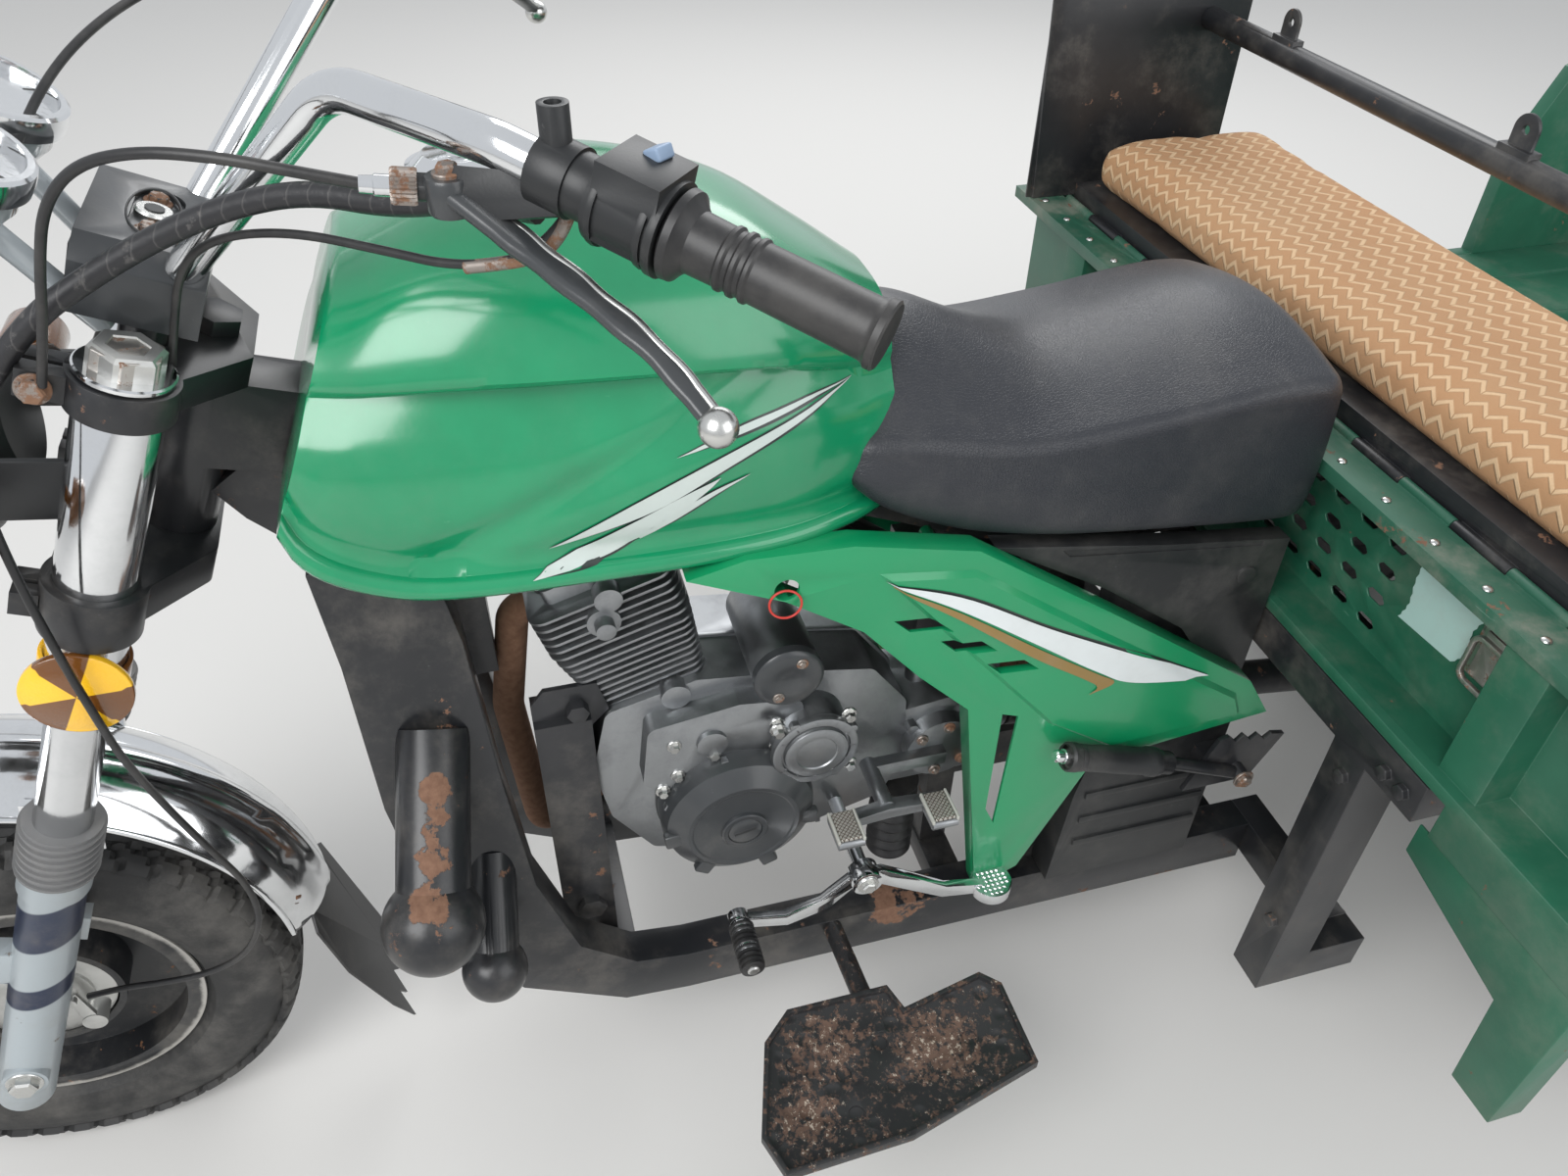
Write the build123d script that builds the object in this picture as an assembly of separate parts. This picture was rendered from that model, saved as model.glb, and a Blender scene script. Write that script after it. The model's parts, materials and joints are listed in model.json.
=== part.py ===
"""Cargo motor tricycle: one steered wheel on a raked telescopic fork, a pressed steel
frame with a single-cylinder engine, and a flat load bed on a leaf-sprung rear axle.

Millimetres. +Z is up, the front is towards -Y and the left side towards +X. The origin
is on the ground, at the centre of the vehicle's outer box.
"""
import math
import os

from build123d import *

# Whole vehicle
overall_length = 3420.0
overall_width = 1250.0
wheelbase = 2200.0
rear_track = 1040.0

# Clearances
shaft_gap = 0.05        # radial gap of a shaft that turns or slides in its hole
seat_gap = 0.3          # gap between pieces of two bodies that rest on each other
moving_gap = 6.0        # least air between pieces that move past each other

# Wheels
front_tyre_radius = 272.0
front_tyre_width = 118.0
rear_tyre_radius = 284.0
rear_tyre_width = 130.0
rim_seat_radius = 152.0
rim_flange_radius = 168.0
rim_half_width = 40.0
rim_sheet = 4.0
drum_radius = 84.0
drum_wall = 8.0
spindle_radius = 8.0
hub_shaft_radius = 20.0

# Fork and steering head, measured along the fork from the front axle
rake_deg = 23.5
fork_spread = 105.0
head_offset = 50.0
leg_radius = 29.0
stanchion_radius = 25.0
shroud_radius = 31.0
fork_top_radius = 27.0
leg_foot = -60.0
leg_top = 322.0
seal_top = 388.0
stanchion_foot = 152.0
shroud_foot = 560.0
lower_yoke_foot = 640.0
lower_yoke_top = 676.0
upper_yoke_foot = 838.0
upper_yoke_top = 866.0
riser_top = 904.0
stem_radius = 17.0
head_tube_radius = 30.0

# Handlebar
bar_radius = 13.5
grip_radius = 17.0
grip_length = 125.0

# Frame
rail_height = 70.0
rail_width = 44.0
rail_centre_x = 122.0
rail_centre_z = 200.0
seat_rail_top = 768.0
tank_tunnel_half = 35.0
sheet = 3.0

# Load bed
bed_front = 1400.0      # all these are measured back from the front axle
panel_face = 1450.0
bench_rear = 1765.0
boards_front = 2290.0
deck_underside = 640.0
deck_thickness = 8.0
bench_top = 845.0
board_top = 1000.0
board_thickness = 26.0
tailgate_thickness = 26.0
tab_spacing = 400.0
tab_hole_radius = 4.5
chassis_rail_x = 300.0
cross_member = 40.0     # height of the members between the chassis rails and the deck
lid_inset = 65.0        # from the bed's side to the end of the bench's lid
cushion_height = 60.0
end_panel_top = 1180.0
spring_reach = 430.0
spring_seat = 48.0      # the springs' seat above the rear axle's centre
leaf_thickness = 8.0

front_axle_y = front_tyre_radius - overall_length / 2
front_axle_z = front_tyre_radius
rear_axle_y = front_axle_y + wheelbase
rear_axle_z = rear_tyre_radius
bed_half = overall_width / 2
chassis_rail_top = deck_underside - cross_member
lid_half = bed_half - lid_inset
lid_top = bench_top + 14.0
tail_y = overall_length / 2
tail_distance = tail_y - front_axle_y
wheel_x = rear_track / 2
flange_top = bench_top - 9
lid_hinge = panel_face + 12
lid_hinge_z = flange_top + seat_gap / 2
lid_hinge_radius = 6.0
lid_pin_radius = 2.5
gate_hinge_radius = 9.0
gate_pin_radius = 4.0
gate_hinge = tail_distance - gate_hinge_radius
gate_hinge_z = deck_underside + deck_thickness / 2

rake = math.radians(rake_deg)
FORK = Plane(
    origin=(0, front_axle_y, front_axle_z),
    x_dir=(1, 0, 0),
    z_dir=(0, math.sin(rake), math.cos(rake)),
)
LOW = (Align.CENTER, Align.CENTER, Align.MIN)


def at(x, distance, z):
    """A point given by its distance behind the front axle."""
    return Vector(x, front_axle_y + distance, z)


def block(x, y, z):
    """A box from three (low, high) pairs, y measured from the front axle."""
    size = [high - low for low, high in (x, y, z)]
    middle = at(*[(low + high) / 2 for low, high in (x, y, z)])
    return Pos(middle) * Box(*size)


def rod(start, end, radius, bore=0.0):
    """A round bar, or a tube if it has a bore, between two points."""
    run = Vector(end) - Vector(start)
    bar = Cylinder(radius, run.length, align=LOW)
    if bore:
        bar -= Cylinder(bore, run.length, align=LOW)
    return Plane(origin=start, z_dir=run) * bar


def ring(x0, x1, outer, inner=0.0):
    """A flat ring about the X axis."""
    shape = Rot(0, 90, 0) * Cylinder(outer, x1 - x0, align=LOW)
    if inner:
        shape -= Rot(0, 90, 0) * Cylinder(inner, x1 - x0, align=LOW)
    return Pos(x0, 0, 0) * shape


def side_plate(outline, x0, x1, corner=0.0):
    """A plate with an outline of (distance, height) pairs, from x0 to x1."""
    face = Plane.YZ * Polygon(*outline, align=None)
    if corner:
        face = fillet(face.vertices(), corner)
    plate = extrude(face, x1 - x0, dir=(1, 0, 0))
    return Pos(x0, front_axle_y, 0) * plate


def pipe(points, radius, bends, bore=0.0):
    """A bent tube through a few points with an arc at each corner."""
    path = FilletPolyline(*points, radius=bends)
    start = Plane(origin=path @ 0, z_dir=path % 0)
    tube = sweep(start * Circle(radius), path=path)
    if bore:
        tube -= sweep(start * Circle(bore), path=path)
    return tube


def strip(sections):
    """A box tube through rectangles of (x, distance, z, tangent, width, depth)."""
    faces = []
    for x, distance, z, tangent, width, depth in sections:
        turn = math.radians(tangent)
        run = (0, math.cos(turn), math.sin(turn))
        plane = Plane(origin=at(x, distance, z), x_dir=(1, 0, 0), z_dir=run)
        faces.append(plane * Rectangle(width, depth))
    return loft(faces, ruled=True)


def hull_section(distance, outline):
    """A closed section across the vehicle from its left half's (x, z) pairs."""
    right = [(-x, z) for x, z in reversed(outline)]
    plane = Plane(origin=at(0, distance, 0), x_dir=(1, 0, 0), z_dir=(0, -1, 0))
    return plane * Polygon(*outline, *right, align=None)


def body_section(distance, wide, low, shoulder_x, shoulder_z, crest):
    """A closed section: flat below, an arc over the top and one down each side."""
    top = ThreePointArc((-shoulder_x, shoulder_z), (0, crest), (shoulder_x, shoulder_z))
    right = TangentArc((shoulder_x, shoulder_z), (wide, low), tangent=top % 1)
    middle = right @ 0.5
    left = ThreePointArc((-wide, low), (-middle.X, middle.Y), (-shoulder_x, shoulder_z))
    bottom = Line((wide, low), (-wide, low))
    plane = Plane(origin=at(0, distance, 0), x_dir=(1, 0, 0), z_dir=(0, -1, 0))
    return plane * make_face([top, right, bottom, left])


def hex_bolt(place, radius, height):
    """A hexagon head standing on a plane."""
    return place * extrude(RegularPolygon(radius, 6), height)


def facing_left(x, distance, z):
    """A plane whose normal points to the vehicle's left."""
    return Plane(origin=at(x, distance, z), x_dir=(0, 1, 0), z_dir=(1, 0, 0))


def both(shape):
    """A piece and its mirror image on the other side."""
    return shape + mirror(shape, Plane.YZ)


def on_fork(shape):
    """Places a piece that was made with the front axle at its origin."""
    return FORK.location * shape


def fork_post(x, offset, start, end, radius):
    """A round post along the fork, in the fork's own frame."""
    return Pos(x, offset, start) * Cylinder(radius, end - start, align=LOW)


# Wheels


tyre_side = [
    # share of the half width, share of the way up from the flange to the tread
    (0.84, 0.18), (0.97, 0.42), (1.0, 0.62), (0.9, 0.86), (0.66, 0.96), (0.3, 1.0),
]


def tyre(radius, width):
    """A tyre ring about the X axis, its beads inside the rim's flanges."""
    bead = rim_half_width - seat_gap
    seat = rim_seat_radius + seat_gap
    half = width / 2
    low = rim_flange_radius + 4
    right = [(bead, seat), (bead, low)]
    right += [(half * across, low + (radius - low) * up) for across, up in tyre_side]
    left = [(-x, r) for x, r in reversed(right)]
    return revolve(Polygon(*right, *left, align=None), Axis.X)


def rim_profile(drum_out):
    """The rim's well and flanges and the dished disc that joins them to the drum."""
    outer = rim_half_width + rim_sheet
    well = rim_seat_radius - rim_sheet
    face = Rectangle(2 * outer, rim_sheet, align=(Align.CENTER, Align.MIN))
    face = Pos(0, well) * face
    for side in (-1, 1):
        flange = Rectangle(rim_sheet, rim_flange_radius - well, align=(Align.CENTER, Align.MIN))
        face += Pos(side * (outer - rim_sheet / 2), well) * flange
    disc = Polygon(
        (drum_out, drum_radius - 2),
        (drum_out + 6, drum_radius - 2),
        (drum_out + 20, well + 1),
        (drum_out + 13, well + 1),
        align=None,
    )
    return face + disc


def front_rim():
    drum_out = -18.0
    hub_half = 44.0
    face = rim_profile(drum_out)
    drum = [
        (drum_out, 52.0, drum_radius - drum_wall, drum_radius),
        (drum_out, drum_wall, spindle_radius + shaft_gap, drum_radius),
        (-hub_half, hub_half + 20, spindle_radius + shaft_gap, 27.0),
    ]
    for start, length, low, high in drum:
        band = Rectangle(length, high - low, align=(Align.MIN, Align.MIN))
        face += Pos(start, low) * band
    wheel = revolve(face, Axis.X)
    return Pos(0, front_axle_y, front_axle_z) * wheel


def rear_rim():
    """The left rear rim with its drum and the shaft that enters the axle."""
    drum_out = 14.0
    face = rim_profile(drum_out)
    parts = [
        (drum_out - 60.0, 60.0, drum_radius + 16 - drum_wall, drum_radius + 16),
        (drum_out, 6.0, 0.0, drum_radius + 16),
        (drum_out + 6.0, 30.0, 0.0, 32.0),
        (drum_out - 150.0, 150.0, 0.0, hub_shaft_radius),
    ]
    for start, length, low, high in parts:
        band = Rectangle(length, high - low, align=(Align.MIN, Align.MIN))
        face += Pos(start, low) * band
    wheel = revolve(face, Axis.X)
    for angle in range(0, 360, 45):
        window = Rot(angle, 0, 0) * Pos(drum_out - 5, 124, 0) * ring(0, 40, 9)
        wheel -= window
    nuts = [
        Pos(drum_out + 6, 0, 0) * Rot(angle, 0, 0) * Pos(0, 55, 0) * Rot(0, 90, 0)
        * extrude(RegularPolygon(10, 6), 12)
        for angle in range(0, 360, 72)
    ]
    wheel += nuts
    return Pos(wheel_x, rear_axle_y, rear_axle_z) * wheel


# Steering


def fork_leg(x):
    """A lower leg: the tube, its axle boss, its collar and the ribbed dust seal."""
    side = 1 if x > 0 else -1
    leg = fork_post(x, 0, leg_foot, leg_top, leg_radius)
    leg += fork_post(x, 0, leg_top - 26, leg_top, leg_radius + 3)
    leg += fork_post(x, 0, leg_foot, leg_foot + 24, leg_radius - 6)
    leg += Pos(x, 0, 0) * ring(-leg_radius - 3, leg_radius + 3, 22)
    leg += Pos(x, -leg_radius, 170) * Box(22, 26, 46)
    leg += Pos(x - side * 24, leg_radius - 6, 205) * Box(20, 24, 34)
    seal = fork_post(x, 0, leg_top, seal_top, leg_radius + 4)
    for groove in (14.0, 28.0, 42.0):
        cut = fork_post(x, 0, leg_top + groove, leg_top + groove + 5, leg_radius + 6)
        seal -= cut - fork_post(x, 0, leg_top, seal_top, leg_radius + 1)
    leg += seal
    leg -= fork_post(x, 0, stanchion_foot - 2, seal_top, stanchion_radius + shaft_gap)
    leg -= Pos(x - 60, 0, 0) * ring(0, 120, spindle_radius + shaft_gap)
    return leg


def fork_tube(x):
    tube = fork_post(x, 0, stanchion_foot, shroud_foot, stanchion_radius)
    tube += fork_post(x, 0, shroud_foot, upper_yoke_foot - 1, shroud_radius)
    tube += fork_post(x, 0, upper_yoke_foot - 1, upper_yoke_top + 2, fork_top_radius)
    return tube


def fork_cap(x):
    top = upper_yoke_top + 2
    washer = fork_post(x, 0, top, top + 3, 34)
    nut = Pos(x, 0, top + 3) * extrude(RegularPolygon(26, 6), 17)
    return washer + nut


def lower_yoke():
    """The bottom yoke with the steering stem and the stem's nut on top."""
    level = Plane.XY.offset(lower_yoke_foot)
    reach = fork_spread
    arm = Polygon(
        (-reach - 10, -34), (reach + 10, -34), (reach + 20, 26),
        (42, 84), (-42, 84), (-reach - 20, 26), align=None,
    )
    arm = fillet(arm.vertices(), 14)
    yoke = extrude(level * arm, lower_yoke_top - lower_yoke_foot)
    for x in (-fork_spread, fork_spread):
        yoke += fork_post(x, 0, lower_yoke_foot - 12, lower_yoke_top, shroud_radius + 8)
        yoke -= fork_post(x, 0, lower_yoke_foot - 12, lower_yoke_top, shroud_radius)
        yoke += Pos(x, -46, lower_yoke_foot + 12) * (Box(34, 20, 22) - Box(5, 30, 24))
    yoke += fork_post(0, head_offset, lower_yoke_foot, upper_yoke_top, stem_radius)
    nut = Plane(origin=(0, head_offset, upper_yoke_top), x_dir=(1, 0, 0), z_dir=(0, 0, 1))
    return yoke + hex_bolt(nut, 22, 14)


clamp_radius = 38.0


def upper_yoke():
    """The top yoke: a ribbed plate, two split clamps, the stem nut and the bar's risers."""
    thick = upper_yoke_top - upper_yoke_foot
    level = Plane.XY.offset(upper_yoke_foot)
    outline = [
        (fork_spread, -30), (fork_spread, 30), (38, 82), (-38, 82), (-fork_spread, 30),
        (-fork_spread, -30), (-50, -12), (50, -12),
    ]
    yoke = extrude(level * Polygon(*outline, align=None), thick)
    yoke -= Pos(0, 12, upper_yoke_top - 6) * extrude(RectangleRounded(110, 24, 10), 8)
    for x in (-fork_spread, fork_spread):
        yoke += fork_post(x, 0, upper_yoke_foot, upper_yoke_top, clamp_radius)
        yoke += Pos(x, -48, upper_yoke_foot + thick / 2) * Box(36, 34, 22)
        yoke += fork_post(0.4 * x, 4, upper_yoke_foot, riser_top, 17)
    for x in (-fork_spread, fork_spread):
        yoke -= fork_post(x, 0, upper_yoke_foot, upper_yoke_top, fork_top_radius + shaft_gap)
        yoke -= Pos(x, -48, upper_yoke_foot + thick / 2) * Box(5, 60, thick + 2)
        for side in (-1, 1):
            bolt = Plane(origin=(x + side * 18, -52, upper_yoke_foot + thick / 2), z_dir=(side, 0, 0))
            yoke += hex_bolt(bolt, 9, 8)
    yoke -= fork_post(0, head_offset, upper_yoke_foot, upper_yoke_top, stem_radius + shaft_gap)
    return yoke


# Handlebar points: x, distance behind the front axle, height
bar_points = [
    (0.0, 385.0, 1112.0),
    (58.0, 388.0, 1112.0),
    (150.0, 530.0, 1268.0),
    (262.0, 622.0, 1262.0),
    (412.0, 800.0, 1200.0),
]
bar_bends = [28.0, 62.0, 60.0]


def handlebar():
    left = pipe([at(*p) for p in bar_points], bar_radius, bar_bends)
    return both(left)


def grip_axis():
    end = at(*bar_points[-1])
    inner = at(*bar_points[-2])
    return end, (inner - end).normalized()


def grip():
    """A rubber grip: a ribbed sleeve with an inner flange and an end cap."""
    end, inward = grip_axis()
    sleeve = rod(end, end + inward * grip_length, grip_radius)
    for reach in (8.0, 16.0, 24.0, 84.0, 92.0, 100.0):
        sleeve += rod(end + inward * reach, end + inward * (reach + 4), grip_radius + 1.5)
    sleeve += rod(end - inward * 8, end, grip_radius + 3)
    sleeve += rod(end + inward * (grip_length - 6), end + inward * grip_length, 27)
    return sleeve - rod(end, end + inward * grip_length, bar_radius + shaft_gap)


lever_pivot = (256.0, 592.0, 1234.0)
mirror_hole_radius = 5.0


def mirror_seat():
    """The top of the left mirror boss, the mouth of its threaded hole."""
    end, inward = grip_axis()
    return end + inward * (grip_length + seat_gap + 74) + Vector(0, 0, 40)


def switch_pod():
    """The switch housing and, inboard of it, the lever's perch with its pivot arm."""
    end, inward = grip_axis()
    start = end + inward * (grip_length + seat_gap)
    pod = rod(start, start + inward * 46, 25)
    cross = Plane(origin=start + inward * 23, x_dir=(0, 0, 1), z_dir=inward)
    pod += cross * Pos(8, 0, 0) * Box(46, 44, 40)
    pod += cross * Pos(24, 14, 0) * Box(14, 14, 24)
    pod += cross * Pos(-6, 24, 4) * Box(20, 12, 16)
    pod += rod(start, start + inward * 5, 28)
    neck = rod(start + inward * 46, start + inward * 62, 19)
    perch = rod(start + inward * 62, start + inward * 86, 21)
    out = at(*lever_pivot) - end
    down = (out - inward * out.dot(inward)).normalized()
    plane = Plane(origin=end, x_dir=inward, z_dir=inward.cross(down))
    arm = plane * Polygon((190, 5), (190, 20), (236, 44), (264, 44), (264, 22), (214, 5), align=None)
    arm = extrude(arm, 8, both=True)
    adjuster = at(*lever_pivot) + inward * 8
    away = (Vector(-0.05, -1, 0.12)).normalized()
    arm += rod(adjuster, adjuster + away * 26, 8) + rod(adjuster + away * 26, adjuster + away * 40, 5)
    seat = mirror_seat()
    boss = rod(seat - Vector(0, 0, 40), seat, 9)
    bored = pod + neck + perch + arm + boss
    bored -= rod(seat - Vector(0, 0, 18), seat, mirror_hole_radius)
    return bored - pipe([at(*p) for p in bar_points], bar_radius + shaft_gap, bar_bends)


def hand_lever():
    """The lever: a flat root at its pivot, a wavy blade and the ball at its tip."""
    pivot = at(*lever_pivot)
    tip = at(430, 712, 1158)
    points = [pivot, at(290, 578, 1222), at(345, 622, 1196), at(385, 668, 1176), tip]
    blade = pipe(points, 6.5, [40, 60, 60])
    root = rod(pivot - Vector(0, 0, 11), pivot + Vector(0, 0, 11), 14)
    return blade + root + Pos(tip) * Sphere(10)


def clamp_cover():
    """The tapered plastic cover over the bar's clamp with its oval recess and notched skirt."""
    outline = [(-78, -14), (78, -14), (78, 26), (62, 43), (-62, 43), (-78, 26)]
    plane = Plane(origin=(0, 42, riser_top), x_dir=(1, 0, 0), z_dir=(0, -1, 0))
    box = extrude(plane * Polygon(*outline, align=None), 88)
    box -= Pos(0, -2, riser_top - 8) * Box(148, 80, 30)
    top = Plane.XY.offset(riser_top + 39)
    box -= top * extrude(SlotOverall(86, 34), 10)
    box += Pos(0, -2, riser_top + 36) * Cylinder(13, 8, align=LOW)
    for x in (-28, 28):
        box += hex_bolt(Plane(origin=(x, -2, riser_top + 38)), 7, 7)
    for x in (-60, 60):
        box -= Pos(x, 42, riser_top) * Box(20, 30, 30)
    return on_fork(box)


def gauge(x):
    """A round instrument: a bowl, a bezel, a sunk dial with its hub, and its bracket."""
    place = Plane(origin=at(x, 262, 1200), x_dir=(1, 0, 0), z_dir=(0, 0.52, 0.85))
    pod = Pos(0, 0, -34) * Cone(34, 52, 34, align=LOW) + Cylinder(52, 22, align=LOW)
    pod += Pos(0, 0, 18) * (Cylinder(57, 12, align=LOW) - Cylinder(51, 12, align=LOW))
    pod += Pos(0, 0, 22) * Cylinder(5, 3, align=LOW)
    return place * pod + rod(at(x, 270, 1185), at(0.8 * x, 330, 1078), 9)


def headlamp():
    """The lamp's bowl, rim and domed lens on two ears from the fork's shrouds."""
    place = Plane(origin=at(0, 190, 985), x_dir=(1, 0, 0), z_dir=(0, -1, 0))
    bowl = Cylinder(88, 50, align=LOW) + Pos(0, 0, 50) * Cylinder(96, 20, align=LOW)
    bowl += Pos(0, 0, -40) * Cone(46, 88, 40, align=LOW)
    cap = Pos(0, 0, 70) * Cone(90, 60, 12, align=LOW)
    ear = side_plate([(160, 955), (300, 935), (320, 985), (160, 1010)], 84, 90)
    return place * (bowl + cap) + both(ear)


def front_indicator():
    """A turn signal on a short stalk beside the headlamp."""
    stalk = rod(at(90, 205, 972), at(128, 205, 972), 8)
    lamp = rod(at(128, 205, 972), at(178, 205, 972), 26) + rod(at(178, 205, 972), at(188, 205, 972), 20)
    return stalk + lamp


def mudguard():
    """A rolled guard with a raised centre rib and beaded edges, on ears to the fork legs."""
    radius, half, thick = 322.0, 70.0, 2.5
    start, end = 2.0, 142.0
    outer = []
    for step in range(-10, 11):
        x = half * step / 10
        rib = 3.5 if abs(step) < 2 else 0.0
        outer.append((x, radius + rib - 34 * abs(step / 10) ** 2.6))
    inner = [(x * (1 - thick / half), r - thick) for x, r in reversed(outer)]
    guard = revolve(Polygon(*outer, *inner, align=None), Axis.X, end - start)
    for x in (-half + 1, half - 1):
        guard += revolve(Pos(x, radius - 35) * Circle(3.5), Axis.X, end - start)
    guard = Pos(0, front_axle_y, front_axle_z + 58) * Rot(start, 0, 0) * guard
    reach = fork_spread - leg_radius + 0.6
    ear = side_plate([(95, 545), (160, 545), (172, 600), (110, 625)], half - thick, reach)
    return guard + both(ear)


cable_radius = 3.5


def cable(points, radius, clearance=1.0):
    """A sheathed cable: straight runs joined by arcs as large as the runs allow."""
    bends = []
    for before, corner, after in zip(points, points[1:], points[2:]):
        turn = math.radians((corner - before).get_angle(after - corner))
        run = min((corner - before).length, (after - corner).length)
        bends.append(clearance * 0.45 * run / math.tan(turn / 2))
    print("cable radii", [round(bend) for bend in bends])
    return pipe(points, radius, bends)


# Cable routes from where each one leaves its lever, switch or hub: x, distance, height
clutch_cable = [
    (250.0, 550.0, 1240.0), (246.0, 510.0, 1250.0), (236.0, 470.0, 1258.0),
    (216.0, 425.0, 1258.0), (190.0, 385.0, 1244.0), (168.0, 355.0, 1214.0),
    (150.0, 335.0, 1172.0), (138.0, 318.0, 1124.0), (132.0, 300.0, 1078.0),
]
switch_loom = [
    (262.0, 640.0, 1222.0), (226.0, 604.0, 1218.0), (190.0, 556.0, 1204.0),
    (158.0, 506.0, 1206.0), (136.0, 454.0, 1193.0), (123.0, 402.0, 1172.0),
    (118.0, 350.0, 1146.0), (117.0, 300.0, 1117.0), (112.0, 262.0, 1076.0),
]
choke_cable = [
    (290.0, 656.0, 1232.0), (276.0, 638.0, 1200.0), (246.0, 590.0, 1184.0),
    (208.0, 544.0, 1184.0), (164.0, 490.0, 1183.0), (125.0, 438.0, 1169.0),
    (101.0, 404.0, 1142.0), (85.0, 383.0, 1090.0), (77.0, 366.0, 1040.0),
]
brake_cable = [
    (-268.0, 546.0, 1240.0), (-262.0, 500.0, 1250.0), (-238.0, 446.0, 1258.0),
    (-190.0, 396.0, 1256.0), (-128.0, 352.0, 1244.0), (-66.0, 318.0, 1222.0),
    (4.0, 294.0, 1186.0), (70.0, 268.0, 1140.0), (122.0, 246.0, 1080.0),
    (152.0, 240.0, 1010.0), (161.0, 240.0, 940.0), (163.0, 242.0, 870.0),
    (160.0, 244.0, 800.0), (142.0, 240.0, 728.0), (114.0, 236.0, 660.0),
    (97.0, 240.0, 594.0), (92.0, 254.0, 530.0), (92.0, 272.0, 470.0),
    (94.0, 272.0, 410.0), (96.0, 244.0, 356.0), (88.0, 196.0, 326.0),
    (74.0, 144.0, 308.0), (60.0, 94.0, 296.0), (57.0, 56.0, 290.0),
]


def control_cables():
    """The clutch and brake cables, the choke cable and the switches' wiring loom."""
    cables = cable([at(*p) for p in clutch_cable], cable_radius)
    cables += cable([at(*p) for p in brake_cable], cable_radius)
    cables += cable([at(*p) for p in choke_cable], cable_radius - 0.5)
    cables += cable([at(*p) for p in switch_loom], 2.4 * cable_radius)
    return cables


def mudflap():
    """The rubber flap inside the guard's end, its lower edge torn off slantwise."""
    top = at(0, 300, front_axle_z + 90)
    plane = Plane(origin=top, x_dir=(1, 0, 0), z_dir=(0, 1, 0.22))
    outline = [
        (-50, -22), (50, -22), (50, 22), (66, 36), (70, 120), (44, 250), (22, 318), (14, 266),
        (2, 292), (-6, 248), (-20, 268), (-30, 234), (-68, 214), (-66, 36), (-50, 22),
    ]
    return extrude(plane * Polygon(*outline, align=None), 3)


# Frame


downtube_sections = [
    # x, distance, height, tangent in degrees, width, depth
    (42.0, 463.0, 842.0, -76.0, 40.0, 104.0),
    (60.0, 478.0, 735.0, -86.0, 42.0, 112.0),
    (86.0, 486.0, 560.0, -88.0, 44.0, 118.0),
    (108.0, 505.0, 400.0, -76.0, 44.0, 112.0),
    (120.0, 560.0, 270.0, -52.0, 44.0, 92.0),
    (rail_centre_x, 650.0, 208.0, -14.0, rail_width, 74.0),
    (rail_centre_x, 720.0, rail_centre_z, 0.0, rail_width, rail_height),
    (rail_centre_x, 1500.0, rail_centre_z, 0.0, rail_width, rail_height),
]


def main_frame():
    foot, top = lower_yoke_top + seat_gap, upper_yoke_foot - seat_gap
    head = on_fork(fork_post(0, head_offset, foot, top, head_tube_radius))
    backbone = strip([
        (0.0, 366.0, 972.0, -20.0, 56.0, 84.0),
        (0.0, 700.0, 880.0, -14.0, 56.0, 64.0),
        (0.0, 960.0, 800.0, -18.0, 56.0, 56.0),
        (0.0, 1160.0, 720.0, -18.0, 56.0, 56.0),
    ])
    gusset = side_plate([
        (352, 905), (372, 872), (392, 850), (420, 760), (520, 640), (560, 640),
        (560, 900), (430, 960),
    ], -22, 22)
    frame = backbone + gusset
    frame += both(strip(downtube_sections))
    for distance in (625.0, 1060.0, 1440.0):
        frame += block((-rail_centre_x, rail_centre_x), (distance, distance + 40), (180, 215))
    post = strip([
        (100.0, 1180.0, 226.0, 90.0, 30.0, 40.0),
        (60.0, 1180.0, 700.0, 90.0, 30.0, 40.0),
    ])
    frame += both(post)
    frame += block((-80, 80), (1150, 1190), (690, seat_rail_top))
    seat_rail = block((60, 90), (1150, 1395), (seat_rail_top - 30, seat_rail_top))
    frame += both(seat_rail)
    for distance, z in ((520.0, 915.0), (880.0, 828.0)):
        frame += Pos(at(0, distance, z)) * ring(-tank_tunnel_half, tank_tunnel_half, 16)
    frame += head
    bore = fork_post(0, head_offset, lower_yoke_foot, upper_yoke_top, stem_radius + shaft_gap)
    return frame - on_fork(bore)


def crash_guard():
    """A fat tube with a ball end and a smaller one behind it, on the left side."""
    big = rod(at(84, 489, 636), at(205, 462, 508), 36) + Pos(at(214, 460, 498)) * Sphere(50)
    small = rod(at(103, 519, 456), at(180, 505, 372), 26) + Pos(at(188, 503, 362)) * Sphere(35)
    return big + small


# Engine


engine_x = (-70.0, 70.0)
cylinder_lean = 17.0
CYLINDER = Plane(
    origin=at(0, 720, 590),
    x_dir=(1, 0, 0),
    z_dir=(0, -math.sin(math.radians(cylinder_lean)), math.cos(math.radians(cylinder_lean))),
)


magneto = (795.0, 440.0)        # the left cover's centre: distance and height
sprocket = (880.0, 530.0)
clutch = (830.0, 445.0)


def cover_bolts(x, centre, reach, angles, length=8.0):
    """Small hexagon heads round a cover's rim on the left side."""
    bolts = Part()
    for angle in angles:
        turn = math.radians(angle)
        distance = centre[0] + reach * math.cos(turn)
        z = centre[1] + reach * math.sin(turn)
        bolts += hex_bolt(facing_left(x, distance, z), 6.5, length)
    return bolts


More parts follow.
